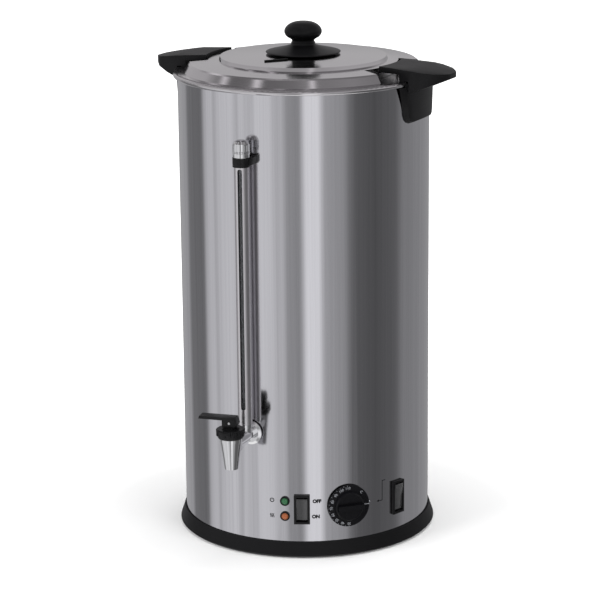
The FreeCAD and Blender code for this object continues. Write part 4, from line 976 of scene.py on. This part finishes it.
class URN_OT_rim_bead(bpy.types.Operator):
    """Runs the rolled bead round the top of the shell"""
    bl_idname = "urn.rim_bead"
    bl_label = "Rolled bead"

    def execute(self, context):
        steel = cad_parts["top_rim"].data.materials[0]
        tree = Tree("rolled bead", {"Radius": "NodeSocketFloat", "Roll": "NodeSocketFloat",
                                    "Height": "NodeSocketVector"})
        loop = tree.add("GeometryNodeCurvePrimitiveCircle", {"Resolution": 240,
                                                             "Radius": tree.named("Radius")})
        section = tree.add("GeometryNodeCurvePrimitiveCircle", {"Resolution": 20,
                                                                "Radius": tree.named("Roll")})
        rolled = tree.add("GeometryNodeCurveToMesh", {"Curve": loop, "Profile Curve": section})
        raised = tree.add("GeometryNodeTransform", {"Geometry": rolled,
                                                    "Translation": tree.named("Height")})
        tree.finish(raised, steel)
        mesh = tree.mesh({"Radius": BEAD_RADIUS, "Roll": BEAD_ROLL, "Height": (0.0, 0.0, BEAD_HIGH)})
        mesh.shade_smooth()
        new_piece("rolled_bead", mesh, steel, "urn")
        return {"FINISHED"}


class URN_OT_studio(bpy.types.Operator):
    """Builds the floor, the striped reflection tent, the lamps and the camera"""
    bl_idname = "urn.studio"
    bl_label = "Studio and camera"

    def execute(self, context):
        scene = context.scene
        self.floor()
        self.tent()
        self.lamps()
        self.world(scene)
        self.camera(scene)
        scene.view_settings.view_transform = "Standard"
        return {"FINISHED"}

    def floor(self):
        """White floor that keeps the contact shadow and otherwise fades to white."""
        built = bmesh.new()
        bmesh.ops.create_circle(built, cap_ends=True, segments=TENT_TURNS, radius=FLOOR_RADIUS)
        mesh = baked(built, "floor", False)
        made = Finish(bpy.data.materials.new("white floor"))
        path = made.add("ShaderNodeLightPath", output="Is Camera Ray")
        fade = made.clamped(made.radius((0.0, 0.0)) * FADE[0] - FADE[1])
        paint = made.add("ShaderNodeBsdfDiffuse", {"Color": FLOOR_PAINT})
        strength = path * (fade * LIFT[0] + LIFT[1])
        lift = made.add("ShaderNodeEmission", {"Color": WHITE, "Strength": strength})
        both = made.add("ShaderNodeAddShader", {0: paint, 1: lift})
        made.add("ShaderNodeOutputMaterial", {"Surface": both})
        mesh.materials.append(made.owner)
        floor = in_scene("floor", mesh)
        floor.visible_glossy = False

    def tent(self):
        """Upright cards round the urn, seen only by its polished surfaces."""
        built = bmesh.new()
        lower, upper = (ring(built, TENT_RADIUS, high, TENT_TURNS) for high in (TENT_LOW, TENT_TOP))
        for i in range(TENT_TURNS):
            j = (i + 1) % TENT_TURNS
            built.faces.new((lower[j], lower[i], upper[i], upper[j]))
        built.faces.new(upper)
        mesh = baked(built, "tent", False)
        made = Finish(bpy.data.materials.new("reflection cards"))
        point = made.add("ShaderNodeTexCoord", output="Object")
        turned = made.add("ShaderNodeMapping", {
            "Vector": point, "Rotation": (0.0, 0.0, -math.radians(CAMERA_AZIMUTH))})
        x = made.add("ShaderNodeSeparateXYZ", {"Vector": turned})
        y, high = (Socket(made, x.output.node.outputs[axis]) for axis in "YZ")
        around = x.bearing(0.0 - y) / math.tau + 0.5

        def banded(table, tint):
            stops = [((turn + 180.0) / 360.0, [value * part for part in tint])
                     for turn, value in table]
            return made.add("ShaderNodeValToRGB", {"Fac": around}, stops=stops)

        middle = made.clamped(high * CARD_EDGE[0] - CARD_EDGE[1])
        top = made.clamped(high * ROOF_EDGE[0] - ROOF_EDGE[1])
        walls = made.shade(middle, banded(CARD_BANDS, CARD_TINT), CARD_TOPS)
        roof = made.shade(top, walls, banded(ROOF_SPOTS, SPOT_TINT))
        glow = made.add("ShaderNodeEmission", {"Color": roof, "Strength": 1.0})
        made.add("ShaderNodeOutputMaterial", {"Surface": glow})
        mesh.materials.append(made.owner)
        tent = in_scene("tent", mesh)
        tent.visible_camera = False
        tent.visible_diffuse = False
        tent.visible_shadow = False
        tent.visible_transmission = False

    def lamps(self):
        """Large soft lamps: key from the left, fill from the right, and one overhead."""
        for name, place, across, power in LAMPS:
            light = bpy.data.lights.new(name, "AREA")
            light.size = across
            light.energy = power
            lamp = in_scene(name, light)
            lamp.location = place
            aim = STUDIO_AIM - Vector(place)
            lamp.rotation_euler = aim.to_track_quat("-Z", "Y").to_euler()
            lamp.visible_glossy = False

    def world(self, scene):
        """White where the camera, gloss or glass sees it, and a plain soft light elsewhere."""
        sky = bpy.data.worlds.new("studio")
        scene.world = sky
        made = Finish(sky)
        seen = made.add("ShaderNodeLightPath", output="Is Camera Ray")
        paths = seen.output.node.outputs
        direct = seen + Socket(made, paths["Is Glossy Ray"]) + Socket(made, paths["Is Transmission Ray"])
        white = made.add("ShaderNodeBackground", {"Color": WHITE, "Strength": 1.0})
        soft = made.add("ShaderNodeBackground", {"Color": WHITE, "Strength": SKY_STRENGTH})
        mixed = made.add("ShaderNodeMixShader", {0: direct.least(1.0), 1: soft, 2: white})
        made.add("ShaderNodeOutputWorld", {"Surface": mixed})

    def camera(self, scene):
        """The photograph's viewpoint."""
        flat = math.cos(CAMERA_PITCH)
        forward = Vector((math.sin(CAMERA_YAW) * flat, math.cos(CAMERA_YAW) * flat,
                          -math.sin(CAMERA_PITCH)))
        right = Vector((math.cos(CAMERA_YAW), -math.sin(CAMERA_YAW), 0.0))
        up = right.cross(forward)
        side = right * math.cos(CAMERA_ROLL) + up * math.sin(CAMERA_ROLL)
        rise = up * math.cos(CAMERA_ROLL) - right * math.sin(CAMERA_ROLL)
        swing = Matrix.Rotation(math.radians(CAMERA_AZIMUTH), 3, "Z")
        axes = Matrix((swing @ side, swing @ rise, swing @ -forward)).transposed()
        view = bpy.data.cameras.new("photo_camera")
        view.sensor_width = SENSOR
        view.lens = FOCAL_PIXELS / IMAGE_SIDE * SENSOR
        view.clip_end = CLIP_END
        holder = in_scene("photo_camera", view)
        holder.matrix_world = axes.to_4x4()
        holder.location = outward(CAMERA_AZIMUTH) * CAMERA_OUT + Vector((0.0, 0.0, CAMERA_HIGH))
        scene.camera = holder


class URN_PT_panel(bpy.types.Panel):
    """Lists the urn's steps in the 3D view's sidebar"""
    bl_idname = "URN_PT_panel"
    bl_label = "Hot water urn"
    bl_space_type = "VIEW_3D"
    bl_region_type = "UI"
    bl_category = "Urn"

    def draw(self, context):
        for group in (context.scene.urn_sizes, context.scene.urn_colours):
            for key in group.__annotations__:
                self.layout.prop(group, key)
        for step in STEPS:
            self.layout.operator(step.bl_idname)


STEPS = (URN_OT_metals, URN_OT_plastics, URN_OT_rounded_parts, URN_OT_shell_marks,
         URN_OT_dial_marks, URN_OT_knob, URN_OT_vent, URN_OT_rim_bead, URN_OT_cap_flutes,
         URN_OT_rear_seam, URN_OT_studio)
CLASSES = (UrnSizes, UrnColours) + STEPS + (URN_PT_panel,)


def register():
    for item in CLASSES:
        bpy.utils.register_class(item)
    bpy.types.Scene.urn_sizes = PointerProperty(type=UrnSizes)
    bpy.types.Scene.urn_colours = PointerProperty(type=UrnColours)


def unregister():
    del bpy.types.Scene.urn_colours
    del bpy.types.Scene.urn_sizes
    for item in reversed(CLASSES):
        bpy.utils.unregister_class(item)


def main():
    register()
    for step in STEPS:
        family, verb = step.bl_idname.split(".")
        getattr(getattr(bpy.ops, family), verb)()


if __name__ == "__main__":
    main()
